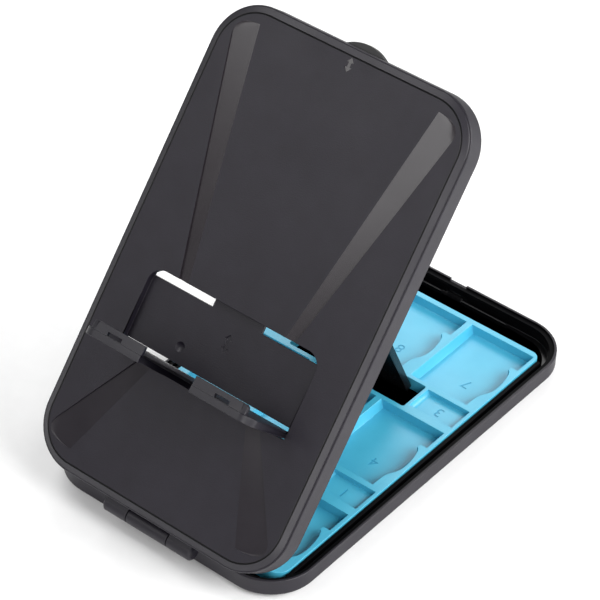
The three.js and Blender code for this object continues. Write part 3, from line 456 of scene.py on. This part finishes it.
# Card tray
# One light blue satin moulding that drops between the rails. It has nine pockets for game cards,
# each with a scoop for the finger in its right wall, four shallow pockets for memory cards in the
# cross bars, and a hole for the foot of the leg. Plain numbers are engraved in the pockets.
tray_bottom = 1.5 * mm
tray_near_radius = 5 * mm
tray_far_radius = 3 * mm
column_starts = [-37.05 * mm, -10.8 * mm, 15.45 * mm]
row_starts = [8.2 * mm, 55.4 * mm, 102.6 * mm]
pocket_width = 21.6 * mm
pocket_widening = 2.5 * mm
pocket_length = 32.1 * mm
pocket_depth = 3.4 * mm
pocket_lean = 0.9 * mm
scoop_start = 0.1 * pocket_length
scoop_peak = 0.39 * pocket_length
scoop_end = 0.68 * pocket_length
wide_start = 0.73 * pocket_length
scoop_levels = 9
scoop_steps = 14
memory_inner = 23.7 * mm
memory_outer = 39.7 * mm
memory_rows = [(43.75 * mm, 53.25 * mm), (90.95 * mm, 100.45 * mm)]
memory_sides = (1, -1)
memory_depth = 1.8 * mm
memory_scoop = 1.6 * mm
leg_hole_side = 22.6 * mm
leg_hole_near = 89.15 * mm
leg_hole_far = 101.05 * mm
leg_hole_radius = 0.8 * mm
digit_height = 3.8 * mm
digit_share = 0.69
digit_across = 0.64 * pocket_width
digit_along = 0.34 * pocket_length
engraving_depth = 0.12 * mm


def edge_loop(shape, points, height):
    """Closed loop of edges through X and Y points at one height."""
    verts = [shape.verts.new((x, y, height)) for x, y in points]
    return [shape.edges.new(pair) for pair in zip(verts, verts[1:] + verts[:1])]


def loft(shape, levels):
    """Closed body through loops of X and Y points, each given with its height."""
    loops = [edge_loop(shape, points, height) for points, height in levels]
    for lower, upper in zip(loops, loops[1:]):
        bmesh.ops.bridge_loops(shape, edges=lower + upper)
    bmesh.ops.contextual_create(shape, geom=loops[0])
    bmesh.ops.contextual_create(shape, geom=loops[-1])


def curve_points(start, first, second, end, steps):
    """Points of a cubic curve after its start."""
    corners = [Vector((x, y, 0)) for x, y in (start, first, second, end)]
    return [(point.x, point.y) for point in interpolate_bezier(*corners, steps + 1)[1:]]


def pocket_outline(x, y, lean, bulge):
    """Outline of a card pocket at one height, its scoop cut by a share of its reach."""
    right = pocket_width
    reach = pocket_width + pocket_widening * bulge
    middle = (scoop_start + scoop_peak) / 2
    points = [(lean, 0), (right, 0), (right, scoop_start)]
    points += curve_points(
        (right, scoop_start), (right, middle), (reach, middle), (reach, scoop_peak), scoop_steps)
    points += curve_points(
        (reach, scoop_peak), (reach, (scoop_peak + scoop_end) / 2),
        ((right + reach) / 2, scoop_end), (right, scoop_end), scoop_steps,
    )
    wide = pocket_width + pocket_widening
    points += [
        (right, wide_start), (wide, wide_start), (wide, pocket_length), (lean, pocket_length),
    ]
    return [(x + across, y + along) for across, along in points]


def engraved(number, x, y, floor):
    """Cutter of a plain number in a flat floor, upright for somebody at the free end."""
    curve = bpy.data.curves.new("digits", "FONT")
    curve.body = str(number)
    curve.size = digit_height / digit_share
    curve.fill_mode = "NONE"
    curve.align_x = "CENTER"
    curve.align_y = "CENTER"
    letters = bpy.data.objects.new("digits", curve)
    mesh = bpy.data.meshes.new_from_object(letters)
    bpy.data.objects.remove(letters)
    place = Matrix.Translation((x, y, floor - engraving_depth)) @ Matrix.Rotation(math.pi, 4, "Z")
    mesh.transform(place)
    shape = bmesh.new()
    shape.from_mesh(mesh)
    bmesh.ops.remove_doubles(shape, verts=shape.verts, dist=merge_distance)
    bmesh.ops.triangle_fill(shape, use_beauty=True, edges=shape.edges)
    pull(shape, shape.faces[:], (0, 0, 2 * engraving_depth))
    return shape


blue = moulding(
    "tray_blue", dark=(0.052, 0.41, 0.60), light=(0.060, 0.44, 0.63),
    roughness=(0.40, 0.48), grain=1900, grain_depth=0.006 * mm, specular=0.95,
)
# Painted shade: a darker copy of the tray blue for the faces of the engraved numbers, standing in
# for the shade in the cuts.
engraving_painted_shade = moulding(
    "engraving_painted_shade", dark=(0.030, 0.30, 0.48), light=(0.035, 0.32, 0.51),
    roughness=(0.40, 0.48), grain=1900, grain_depth=0.006 * mm,
)
tray = solid("pocket_tray", plate(
    -tray_half_width, tray_half_width, tray_near_edge, tray_far_edge,
    tray_near_radius, tray_far_radius, tray_bottom, tray_top,
), blue)
pocket_floor = tray_top - pocket_depth
pockets = bmesh.new()
for x in column_starts:
    for y in row_starts:
        levels = []
        for step in range(scoop_levels):
            turn = math.pi / 2 * step / (scoop_levels - 1)
            up = 1 - math.cos(turn)
            outline = pocket_outline(x, y, pocket_lean * (1 - up), math.sin(turn))
            levels.append((outline, pocket_floor + pocket_depth * up))
        levels.append((pocket_outline(x, y, 0, 1), tray_top + overrun))
        loft(pockets, levels)

memory_floor = tray_top - memory_depth
memory_pockets = bmesh.new()
for y_low, y_high in memory_rows:
    levels = []
    for step in range(scoop_levels):
        turn = math.pi / 2 * step / (scoop_levels - 1)
        start = memory_inner + memory_scoop * (1 - math.sin(turn))
        outline = [(start, y_low), (memory_outer, y_low), (memory_outer, y_high), (start, y_high)]
        levels.append((outline, memory_floor + memory_depth * (1 - math.cos(turn))))
    levels.append((levels[-1][0], tray_top + overrun))
    loft(memory_pockets, levels)

combine(tray, "DIFFERENCE", [
    pockets,
    both_sides(memory_pockets),
    plate(
        -leg_hole_side, leg_hole_side, leg_hole_near, leg_hole_far,
        leg_hole_radius, leg_hole_radius, 0, tray_top + overrun,
    ),
], blue)
digits = []
for column, x in enumerate(reversed(column_starts)):
    for row, y in enumerate(row_starts):
        number = len(column_starts) * row + column + 1
        digits.append(engraved(number, x + digit_across, y + digit_along, pocket_floor))
for row, (y_low, y_high) in enumerate(memory_rows):
    for column, side in enumerate(memory_sides):
        number = len(memory_sides) * row + column + 1
        x = side * (memory_inner + memory_outer) / 2
        digits.append(engraved(number, x, (y_low + y_high) / 2, memory_floor))
# The numbers are cut with the painted-shade blue.
combine(tray, "DIFFERENCE", digits, engraving_painted_shade)
round_edges(tray, edge_round, fine=[engraving_painted_shade])
finish_piece(tray, base_place, "base", "card_tray")

# Hinge pin
# A drawn steel rod that runs through the three knuckles of the base and the lid. It keeps the mesh
# of its solid and gets a steel material.
steel = moulding(
    "drawn_steel", dark=(0.50, 0.50, 0.50), light=(0.60, 0.60, 0.60),
    roughness=(0.25, 0.35), grain=900, grain_depth=0.01 * mm, metallic=1,
)
cad["hinge_pin"].data.materials.clear()
cad["hinge_pin"].data.materials.append(steel)

# Rubber feet
# Four discs of dull black rubber, each glued in a round seat under the base, from which it stands
# a little proud.
foot_proud = 0.4 * mm
foot_edge = 0.25 * mm
rubber = moulding(
    "black_rubber", dark=(0.012, 0.012, 0.012), light=(0.020, 0.020, 0.020),
    roughness=(0.7, 0.85), grain=900, grain_depth=0.03 * mm,
)
foot_nodes = ["foot_hinge_left", "foot_hinge_right", "foot_front_left", "foot_front_right"]
for node, (x, y) in zip(foot_nodes, foot_places):
    foot_shape = post(foot_radius, x, y, -foot_proud, foot_seat_depth - fit_gap)
    round_loop(foot_shape, -foot_proud, foot_edge)
    foot = solid(node.replace("foot", "rubber_foot"), foot_shape, rubber)
    finish_piece(foot, base_place, "base", node)

# Lid shell
# The upper half of the case, moulded in the same grained charcoal with a satin black inside. A fine
# groove runs inside its bevelled border; the groove carries painted shade and the bevel a painted
# sheen.
# Four flutes fan out from the window. They are real recesses, and their far pair is painted lighter
# as sheen and their near pair painted duller as shade.
# The window's floor is sunk, with slots for the root and the lips of the ledge.
lid_lean = math.radians(51.8974)
lid_height = 7.8 * mm
lid_face = 1.8 * mm
lid_ceiling = lid_height - lid_face
tongue_tip = -0.55 * mm
groove_width = 0.56 * mm
groove_depth = 0.34 * mm
crease_width = 0.36 * mm
crease_depth = 0.13 * mm
crease_inset = 0.3 * mm
crown_round = 0.8 * crease_inset
band_tolerance = mm / 100
window_side = 31.4 * mm
window_near = 40.7 * mm
window_far = 66.6 * mm
window_near_radius = 0.8 * mm
window_far_radius = 4.8 * mm
recess_depth = 2.5 * mm
recess_floor = lid_height - recess_depth
recess_thickness = 1.1 * mm
recess_wall = 2.5 * mm
recess_neck = 9.2 * mm
lip_slot_length = 2.8 * mm
root_slot_end = 44.05 * mm
leg_pivot_out = 98 * mm
leg_pivot_up = 1.12 * mm
leg_half_width = 17.4 * mm
stub_radius = 0.75 * mm
stub_length = 1.9 * mm
turning_gap = 0.1 * mm
boss_thickness = 2.5 * mm
boss_half_width = 2.6 * mm
boss_drop = 0.2 * mm
latch_half_width = 7 * mm
latch_height = 2.2 * mm
knuckle_chamfer = 0.7 * mm
pin_inset = 0.8 * mm
flute_depth = 0.6 * mm
flute_lift = 0.02 * flute_depth
flute_taper = 0.45
flute_fade_power = 4
runout_speed = 3
runout_power = 6
far_flute_shares = [(0.471, 0), (0.862, 0.848), (0.693, 0.928), (0.393, 0)]
near_flute_shares = [(0.489, 0), (0.869, 0.668), (0.678, 0.837), (0.379, 0)]
flute_rows = 12
flute_end_rows = 14
flute_columns = 8
arrow_head = 1.5 * mm
arrow_half_width = 1.25 * mm
shaft_half_width = 0.55 * mm
top_arrow_near = 141.6 * mm
top_arrow_far = 146.1 * mm
floor_arrow_x = 0.2 * mm
floor_arrow_near = 53.4 * mm
floor_arrow_far = 59.1 * mm
floor_arrow_depth = 0.35 * mm
dimple_x = -13.4 * mm
dimple_y = 48.86 * mm
dimple_radius = 1.6 * mm
dimple_depth = 0.5 * mm
dimple_sides = 48
dimple_rings = 32

ledge_thickness = 2.2 * mm
ledge_axis_y = window_near + ledge_thickness / 2 + fit_gap
ledge_axis_z = lid_height - ledge_thickness / 2
ledge_half_width = window_side - fit_gap


def flute(shares, window_edge, end_edge):
    """Cutter of one flute, deepest along its outer edge and run out softly at its wide end."""
    corners = [
        Vector((across * case_width / 2, window_edge + outward * (end_edge - window_edge), 0))
        for across, outward in shares
    ]
    outer_narrow, outer_wide, inner_wide, inner_narrow = corners
    run = outer_wide - outer_narrow
    tip = outer_narrow + run * ((inner_wide.y - outer_narrow.y) / run.y)
    back = overrun / abs(run.y)
    rows = flute_rows + flute_end_rows
    shape = bmesh.new()
    bmesh.ops.create_grid(shape, x_segments=flute_columns, y_segments=rows, size=0.5)
    for vert in shape.verts:
        across = vert.co.x + 0.5
        row = round((vert.co.y + 0.5) * rows)
        along = min(row / flute_rows, 1) * (1 + back) - back
        around = max(row - flute_rows, 0) / flute_end_rows
        if around:
            outer = outer_wide.lerp(tip, around).lerp(tip.lerp(inner_wide, around), around)
        else:
            outer = outer_narrow.lerp(outer_wide, along)
        inner = inner_narrow.lerp(inner_wide, along)
        fade = (1 - flute_taper * max(along, 0)) * (1 - around ** flute_fade_power)
        runout = 1 - min(runout_speed * around, 1) * across ** runout_power
        point = inner.lerp(outer, across)
        depth = flute_depth * across * fade * runout - flute_lift
        vert.co = (point.x, point.y, lid_height - depth)
    for vert in pull(shape, shape.faces[:]):
        vert.co.z = lid_height + overrun
    bmesh.ops.remove_doubles(shape, verts=shape.verts, dist=merge_distance)
    return shape


def double_arrow(x, y_low, y_high, floor, depth):
    """Cutter of a small double-headed arrow that points along the lid."""
    middle = (y_low + y_high) / 2
    half = (y_high - y_low) / 2
    neck = half - arrow_head
    points = [
        (0, half), (-arrow_half_width, neck), (-shaft_half_width, neck),
        (-shaft_half_width, -neck), (-arrow_half_width, -neck), (0, -half),
        (arrow_half_width, -neck), (shaft_half_width, -neck),
        (shaft_half_width, neck), (arrow_half_width, neck),
    ]
    shape = bmesh.new()
    bottom = floor - depth
    face = shape.faces.new([shape.verts.new((x + a, middle + b, bottom)) for a, b in points])
    pull(shape, [face], (0, 0, 2 * depth))
    return shape


# Painted sheen: a lighter, glossier copy of the charcoal for the far flutes and the arrow on the
# lid's face, standing in for the light they catch.
flute_arrow_painted_sheen = moulding(
    "flute_arrow_painted_sheen", dark=(0.0150, 0.0110, 0.0150), light=(0.0190, 0.0150, 0.0190),
    roughness=(0.24, 0.28), grain=2600, grain_depth=0.003 * mm, specular=0.8,
)
# Painted shade: a duller copy of the far flutes' material, with less reflection, for the near
# flutes, which sit darker than the face.
near_flute_painted_shade = moulding(
    "near_flute_painted_shade", dark=(0.0110, 0.0085, 0.0125), light=(0.0150, 0.0120, 0.0165),
    roughness=(0.30, 0.36), grain=2600, grain_depth=0.003 * mm, specular=0.38,
)
# Painted shade: a near-black, rough copy of the charcoal for the faces of the fine groove inside
# the border.
groove_painted_shade = moulding(
    "groove_painted_shade", dark=(0.0020, 0.0018, 0.0026), light=(0.0030, 0.0028, 0.0038),
    roughness=(0.55, 0.65), grain=2600, grain_depth=0.004 * mm,
)
inside_satin = moulding(
    "inside_satin", dark=(0.0018, 0.0018, 0.0022), light=(0.0028, 0.0028, 0.0034),
    roughness=(0.50, 0.60), grain=1800, grain_depth=0.004 * mm, specular=0.1,
)
# Painted sheen: a slightly lighter, glossier copy of the charcoal for the bevelled border, for the
# light band it shows.
border_painted_sheen = moulding(
    "border_painted_sheen", dark=(0.0060, 0.0042, 0.0094), light=(0.0086, 0.0066, 0.0130),
    roughness=(0.42, 0.50), grain=2600, grain_depth=0.010 * mm, specular=0.6,
)
dimple_charcoal = charcoal.copy()
dimple_charcoal.name = "dimple_charcoal"

lid_shape = case_plate(0, 0, lid_height - bevel_rise)
crown = max(lid_shape.faces, key=lambda face: face.calc_center_median().z)
slope = bevel_rise / bevel_inset
for inset, lift in (
    (crease_inset, crease_inset * slope),
    (crease_width / 2, -crease_depth),
    (crease_width / 2, crease_depth + crease_width * slope),
    (bevel_inset - crease_inset - crease_width, bevel_rise - (crease_inset + crease_width) * slope),
    (groove_width / 2, -groove_depth),
    (groove_width / 2, groove_depth),
):
    press(lid_shape, crown, inset, lift)
round_loop(lid_shape, lid_height - bevel_rise, crown_round)
round_loop(lid_shape, 0, rim_round)
groove_bottom = lid_height - groove_depth
for face in lid_shape.faces:
    lowest = min(vert.co.z for vert in face.verts)
    highest = max(vert.co.z for vert in face.verts)
    # The groove's faces take the painted shade.
    if abs(lowest - groove_bottom) < band_tolerance:
        face.material_index = 1
    # The bevel's faces take the painted sheen.
    elif lowest < groove_bottom and lid_height - highest < band_tolerance:
        face.material_index = 2
lid = solid("case_lid", lid_shape, charcoal)
lid.data.materials.append(groove_painted_shade)
lid.data.materials.append(border_painted_sheen)

tongue_inset = lip_width + fit_gap
combine(lid, "UNION", [case_plate(tongue_inset, tongue_tip, lid_ceiling / 2)], inside_satin)
combine(lid, "DIFFERENCE", [case_plate(rim_width, tongue_tip - overrun, lid_ceiling)], inside_satin)
boss_inside = leg_half_width + fit_gap
combine(lid, "UNION", [
    block(
        -window_side - recess_wall, window_side + recess_wall, window_near - recess_wall,
        window_far + recess_wall, recess_floor - recess_thickness, lid_ceiling + lid_face / 2,
    ),
    both_sides(block(
        boss_inside, boss_inside + boss_thickness, leg_pivot_out - boss_half_width,
        leg_pivot_out + boss_half_width, -boss_drop, lid_ceiling + lid_face / 2,
    )),
], inside_satin)
combine(lid, "DIFFERENCE", [
    plate(
        -window_side, window_side, window_near, window_far,
        window_near_radius, window_far_radius, recess_floor, lid_height + overrun,
    ),
], charcoal)
tub_low = recess_floor - recess_thickness - overrun
combine(lid, "DIFFERENCE", [
    both_sides(block(
        recess_neck, window_side, window_far - lip_slot_length, window_far + recess_wall + overrun,
        tub_low, lid_ceiling,
    )),
    block(
        -window_side, window_side, window_near - recess_wall - overrun, root_slot_end,
        tub_low, lid_ceiling,
    ),
    both_sides(rod(
        stub_radius + turning_gap, window_side - overrun, ledge_half_width + stub_length + fit_gap,
        ledge_axis_y, ledge_axis_z,
    )),
    both_sides(rod(
        stub_radius + turning_gap, leg_half_width - overrun, leg_half_width + stub_length + fit_gap,
        leg_pivot_out, leg_pivot_up,
    )),
    block(
        -latch_half_width - fit_gap, latch_half_width + fit_gap, case_length - rim_width - overrun,
        case_length + overrun, tongue_tip - overrun, latch_height + fit_gap,
    ),
], charcoal)

hinge_above_rim = hinge_height - base_height
chamfer_start = hinge_half_length - knuckle_chamfer
combine(lid, "UNION", [
    both_sides(rod(
        knuckle_radius, middle_knuckle + fit_gap, chamfer_start, -hinge_setback, hinge_above_rim)),
    both_sides(block(
        middle_knuckle + fit_gap, chamfer_start, -hinge_setback, rim_width / 2,
        2 * fit_gap, hinge_above_rim + web_drop,
    )),
    both_sides(rod(
        knuckle_radius, chamfer_start, hinge_half_length, -hinge_setback, hinge_above_rim,
        end_radius=knuckle_radius - knuckle_chamfer,
    )),
], charcoal)
bore_half_length = hinge_half_length - pin_inset + fit_gap
combine(lid, "DIFFERENCE", [
    rod(pin_hole_radius, -bore_half_length, bore_half_length, -hinge_setback, hinge_above_rim),
], charcoal)

dimple_ball = (dimple_radius ** 2 + dimple_depth ** 2) / (2 * dimple_depth)
dimple = bmesh.new()
bmesh.ops.create_uvsphere(
    dimple, u_segments=dimple_sides, v_segments=dimple_rings, radius=dimple_ball,
    matrix=Matrix.Translation((dimple_x, dimple_y, recess_floor + dimple_ball - dimple_depth)),
)
# The far flutes and the face's arrow are cut with the painted-sheen copy, and the near flutes below
# with the painted-shade copy.
combine(lid, "DIFFERENCE", [
    both_sides(flute(far_flute_shares, window_far, case_length)),
    double_arrow(0, top_arrow_near, top_arrow_far, lid_height, engraving_depth),
], flute_arrow_painted_sheen)
combine(lid, "DIFFERENCE", [
    both_sides(flute(near_flute_shares, window_near, 0)),
], near_flute_painted_shade)
combine(lid, "DIFFERENCE", [dimple], dimple_charcoal)
combine(lid, "DIFFERENCE", [
    double_arrow(
        floor_arrow_x, floor_arrow_near, floor_arrow_far, recess_floor, floor_arrow_depth),
], charcoal)
round_edges(lid, edge_round, fine=[flute_arrow_painted_sheen, near_flute_painted_shade, groove_painted_shade, dimple_charcoal])
lid_hinge = next(joint for joint in frame["joints"] if joint["name"] == "lid_hinge")
lid_place = (
    Matrix.Translation(lid_hinge["pos_m"])
    @ Matrix.Rotation(lid_lean, 4, "X")
    @ Matrix.Translation((0, hinge_setback, -hinge_above_rim))
)
finish_piece(lid, lid_place, "lid", "lid_shell")

# Thumb latch
# A smooth black tab in a notch of the lid's free edge, with a shoulder inside the wall. The barb of
# its hook snaps into a recess in the far wall of the base.
latch_proud = 2.05 * mm
hook_half_width = 3 * mm
hook_thickness = 0.95 * mm
hook_reach = 3.9 * mm
barb = 0.5 * mm
barb_rise = 0.9 * mm
shoulder_depth = 1.8 * mm
tab_sides = 256
latch_back = case_length - rim_width - fit_gap
tab_radius = (latch_half_width ** 2 + latch_proud ** 2) / (2 * latch_proud)
latch_black = moulding(
    "latch_black", dark=(0.010, 0.010, 0.011), light=(0.014, 0.014, 0.015),
    roughness=(0.35, 0.45), grain=2600, grain_depth=0.01 * mm,
)
latch = solid("thumb_tab", block(
    -latch_half_width, latch_half_width, latch_back, case_length + latch_proud + overrun,
    0, latch_height,
), latch_black)
combine(latch, "INTERSECT", [
    post(
        tab_radius, 0, case_length + latch_proud - tab_radius, -overrun, latch_height + overrun,
        tab_sides,
    ),
], latch_black)
combine(latch, "UNION", [
    block(
        -latch_half_width, latch_half_width, case_length - rim_width - shoulder_depth,
        case_length - rim_width / 2, 0, latch_height,
    ),
    prism([
        (latch_back + rim_width / 2, latch_height),
        (latch_back - hook_thickness, latch_height),
        (latch_back - hook_thickness, -hook_reach),
        (latch_back, -hook_reach),
        (latch_back + barb, barb_rise / 2 - hook_reach),
        (latch_back, barb_rise - hook_reach),
        (latch_back, 0),
        (latch_back + rim_width / 2, 0),
    ], -hook_half_width, hook_half_width),
], latch_black)
round_edges(latch, edge_round)
finish_piece(latch, lid_place, "lid", "thumb_latch")

# Folding ledge
# A charcoal flap that turns out of the window on two stubs. Two lips with a slot each keep the
# console from sliding off, and the sloped notch between them lets its cable through.
ledge_open = math.radians(84)
swing_gap = 0.2 * mm
lip_height = 5.1 * mm
lip_thickness = 1.4 * mm
lip_start = 9.4 * mm
lip_inset = 2.7 * mm
lip_end = ledge_half_width - lip_inset
lip_setback = 0.12 * mm
lip_end_radius = 1 * mm
round_steps = 8
slot_centre = 19.9 * mm
slot_length = 5.2 * mm
slot_width = 1.2 * mm
slot_drop = 2.9 * mm
notch_outer_depth = 6.85 * mm
notch_inner_depth = 10.4 * mm
notch_steps = 40
root_radius = ledge_thickness / 2
lip_tip = root_radius - lip_height
ledge_swing = window_far - ledge_axis_y - swing_gap
ledge_reach = math.sqrt(ledge_swing ** 2 - lip_tip ** 2)


def ledge_plate(inset, bottom, top):
    """Slab with the outline of the ledge, moved in from its free edge and its sides."""
    side = ledge_half_width - inset
    radius = window_far_radius - fit_gap - inset
    return plate(-side, side, 0, ledge_reach - inset, 0, radius, bottom, top)


ledge_charcoal = moulding(
    "ledge_charcoal", dark=(0.0060, 0.0050, 0.0100), light=(0.0090, 0.0078, 0.0130),
    roughness=(0.36, 0.44), grain=2600, grain_depth=0.008 * mm,
)
lips = solid("lips", ledge_plate(lip_setback, lip_tip, 0), ledge_charcoal)
combine(lips, "DIFFERENCE", [
    ledge_plate(lip_thickness, lip_tip - overrun, overrun),
], ledge_charcoal)
lip_face = block(lip_start, lip_end, root_radius, ledge_reach + overrun, lip_tip, overrun)
lip_corner = [
    edge for edge in lip_face.edges
    if all(vert.co.x > lip_end - merge_distance for vert in edge.verts)
    and all(vert.co.z < lip_tip + merge_distance for vert in edge.verts)
]
soften(lip_face, lip_corner, lip_end_radius, round_steps)
combine(lips, "INTERSECT", [both_sides(lip_face)], ledge_charcoal)
lip_shape = bmesh.new()
lip_shape.from_mesh(lips.data)
bpy.data.objects.remove(lips)

ledge = solid("folding_ledge", ledge_plate(0, -root_radius, root_radius), ledge_charcoal)
combine(ledge, "UNION", [
    rod(root_radius, -ledge_half_width, ledge_half_width, 0, 0),
    both_sides(rod(stub_radius, ledge_half_width - overrun, ledge_half_width + stub_length, 0, 0)),
    lip_shape,
], ledge_charcoal)
notch_slope = (notch_inner_depth - notch_outer_depth) / ledge_thickness
notch = bmesh.new()
levels = []
for height, depth in (
    (-root_radius - fit_gap, notch_inner_depth + fit_gap * notch_slope),
    (root_radius + fit_gap, notch_outer_depth - fit_gap * notch_slope),
):
    turns = [math.pi + math.pi * step / notch_steps for step in range(notch_steps + 1)]
    points = [(lip_start * math.cos(turn), ledge_reach + depth * math.sin(turn)) for turn in turns]
    points += [(lip_start, ledge_reach + overrun), (-lip_start, ledge_reach + overrun)]
    levels.append((points, height))
loft(notch, levels)
combine(ledge, "DIFFERENCE", [
    notch,
    both_sides(block(
        slot_centre - slot_length / 2, slot_centre + slot_length / 2,
        ledge_reach - lip_thickness - overrun, ledge_reach + overrun,
        root_radius - slot_drop - slot_width / 2, root_radius - slot_drop + slot_width / 2,
    )),
], ledge_charcoal)
round_edges(ledge, edge_round)
ledge_place = (
    lid_place
    @ Matrix.Translation((0, ledge_axis_y, ledge_axis_z))
    @ Matrix.Rotation(ledge_open, 4, "X")
)
finish_piece(ledge, ledge_place, "ledge", "ledge_flap")

# Prop leg
# A smooth black plate with round ends that turns on two stubs, between two bosses in the lid, and
# stands with its foot in the hole of the tray.
leg_lean = math.radians(-116.0987)
leg_length = 92.8 * mm
leg_thickness = 2.4 * mm
leg_foot_corner = 1.5 * mm
leg_black = moulding(
    "leg_black", dark=(0.0035, 0.0035, 0.0040), light=(0.0050, 0.0050, 0.0058),
    roughness=(0.20, 0.28), grain=1200, grain_depth=0.004 * mm,
)
pivot_radius = leg_thickness / 2
leg_round = 0.98 * pivot_radius
leg = solid("prop_plate", plate(
    -leg_half_width, leg_half_width, -pivot_radius, leg_length + pivot_radius,
    leg_foot_corner / 2, leg_foot_corner, -pivot_radius, pivot_radius,
), leg_black)
stadium = block(
    -leg_half_width - overrun, leg_half_width + overrun, -pivot_radius,
    leg_length + pivot_radius, -pivot_radius, pivot_radius,
)
long_edges = [
    edge for edge in stadium.edges
    if abs(edge.verts[0].co.x - edge.verts[1].co.x) > overrun
]
soften(stadium, long_edges, leg_round, round_steps)
combine(leg, "INTERSECT", [stadium], leg_black)
combine(leg, "UNION", [
    both_sides(rod(stub_radius, leg_half_width - overrun, leg_half_width + stub_length, 0, 0)),
], leg_black)
round_edges(leg, edge_round)
leg_place = (
    lid_place
    @ Matrix.Translation((0, leg_pivot_out, leg_pivot_up))
    @ Matrix.Rotation(leg_lean, 4, "X")
)
finish_piece(leg, leg_place, "leg", "prop_leg")

# Floor
# A plain white table top, whose upper face is where the rubber feet stand.
floor_half = 450 * mm
floor_shape = plate(
    -floor_half, floor_half, -floor_half, floor_half, 0, 0, -foot_proud - overrun, -foot_proud)
white = moulding(
    "white_table", dark=(0.90, 0.90, 0.90), light=(0.92, 0.92, 0.92),
    roughness=(0.85, 0.95), grain=60, grain_depth=0,
)
floor = solid("floor", floor_shape, white)


# Lamps and studio
# A strong soft box on the right, weaker ones all round that draw the flutes and the border, and a
# studio that is white behind the case and gives it a soft grey fill.
def softbox(name, place, aim_height, size, power):
    """Rectangular lamp that faces a point above the middle of the case."""
    data = bpy.data.lights.new(name, "AREA")
    data.shape = "RECTANGLE"
    data.size = size[0]
    data.size_y = size[1]
    data.energy = power
    lamp = bpy.data.objects.new(name, data)
    lamp.location = place
    beam = Vector((0, 0, aim_height)) - Vector(place)
    lamp.rotation_euler = beam.to_track_quat("-Z", "Y").to_euler()
    bpy.context.scene.collection.objects.link(lamp)


aim_low = 0.04
aim_middle = 0.05
aim_high = 0.08
softbox("right", place=(1.0, 0.05, 0.7), aim_height=aim_low, size=(0.8, 0.7), power=14.5)
softbox("far_right", place=(0.77, 0.77, 0.5), aim_height=aim_low, size=(0.6, 0.6), power=6.5)
softbox("far_left", place=(-0.53, 0.71, 0.8), aim_height=aim_low, size=(0.6, 0.5), power=3.7)
softbox("front_left", place=(-0.45, -0.73, 0.84), aim_height=aim_low, size=(0.6, 0.5), power=2.6)
softbox("front_right", place=(0.58, -0.93, 0.47), aim_height=aim_low, size=(0.5, 0.5), power=4.3)
softbox("left", place=(-1.15, -0.25, 0.2), aim_height=aim_middle, size=(0.9, 0.3), power=0.6)
softbox("above_left", place=(-0.54, -0.17, 1.06), aim_height=aim_high, size=(0.4, 0.4), power=2.6)

fill_strength = 0.3
background_strength = 1
world = bpy.data.worlds.new("studio")
bpy.context.scene.world = world
world.use_nodes = True
tree = world.node_tree
background = tree.nodes["Background"]
background.inputs["Color"].default_value = (1, 1, 1, 1)
rays = tree.nodes.new("ShaderNodeLightPath")
seen = tree.nodes.new("ShaderNodeMath")
seen.operation = "MAXIMUM"
tree.links.new(rays.outputs["Is Camera Ray"], seen.inputs[0])
tree.links.new(rays.outputs["Is Transmission Ray"], seen.inputs[1])
level = tree.nodes.new("ShaderNodeMapRange")
level.inputs["To Min"].default_value = fill_strength
level.inputs["To Max"].default_value = background_strength
tree.links.new(seen.outputs["Value"], level.inputs["Value"])
tree.links.new(level.outputs["Result"], background.inputs["Strength"])
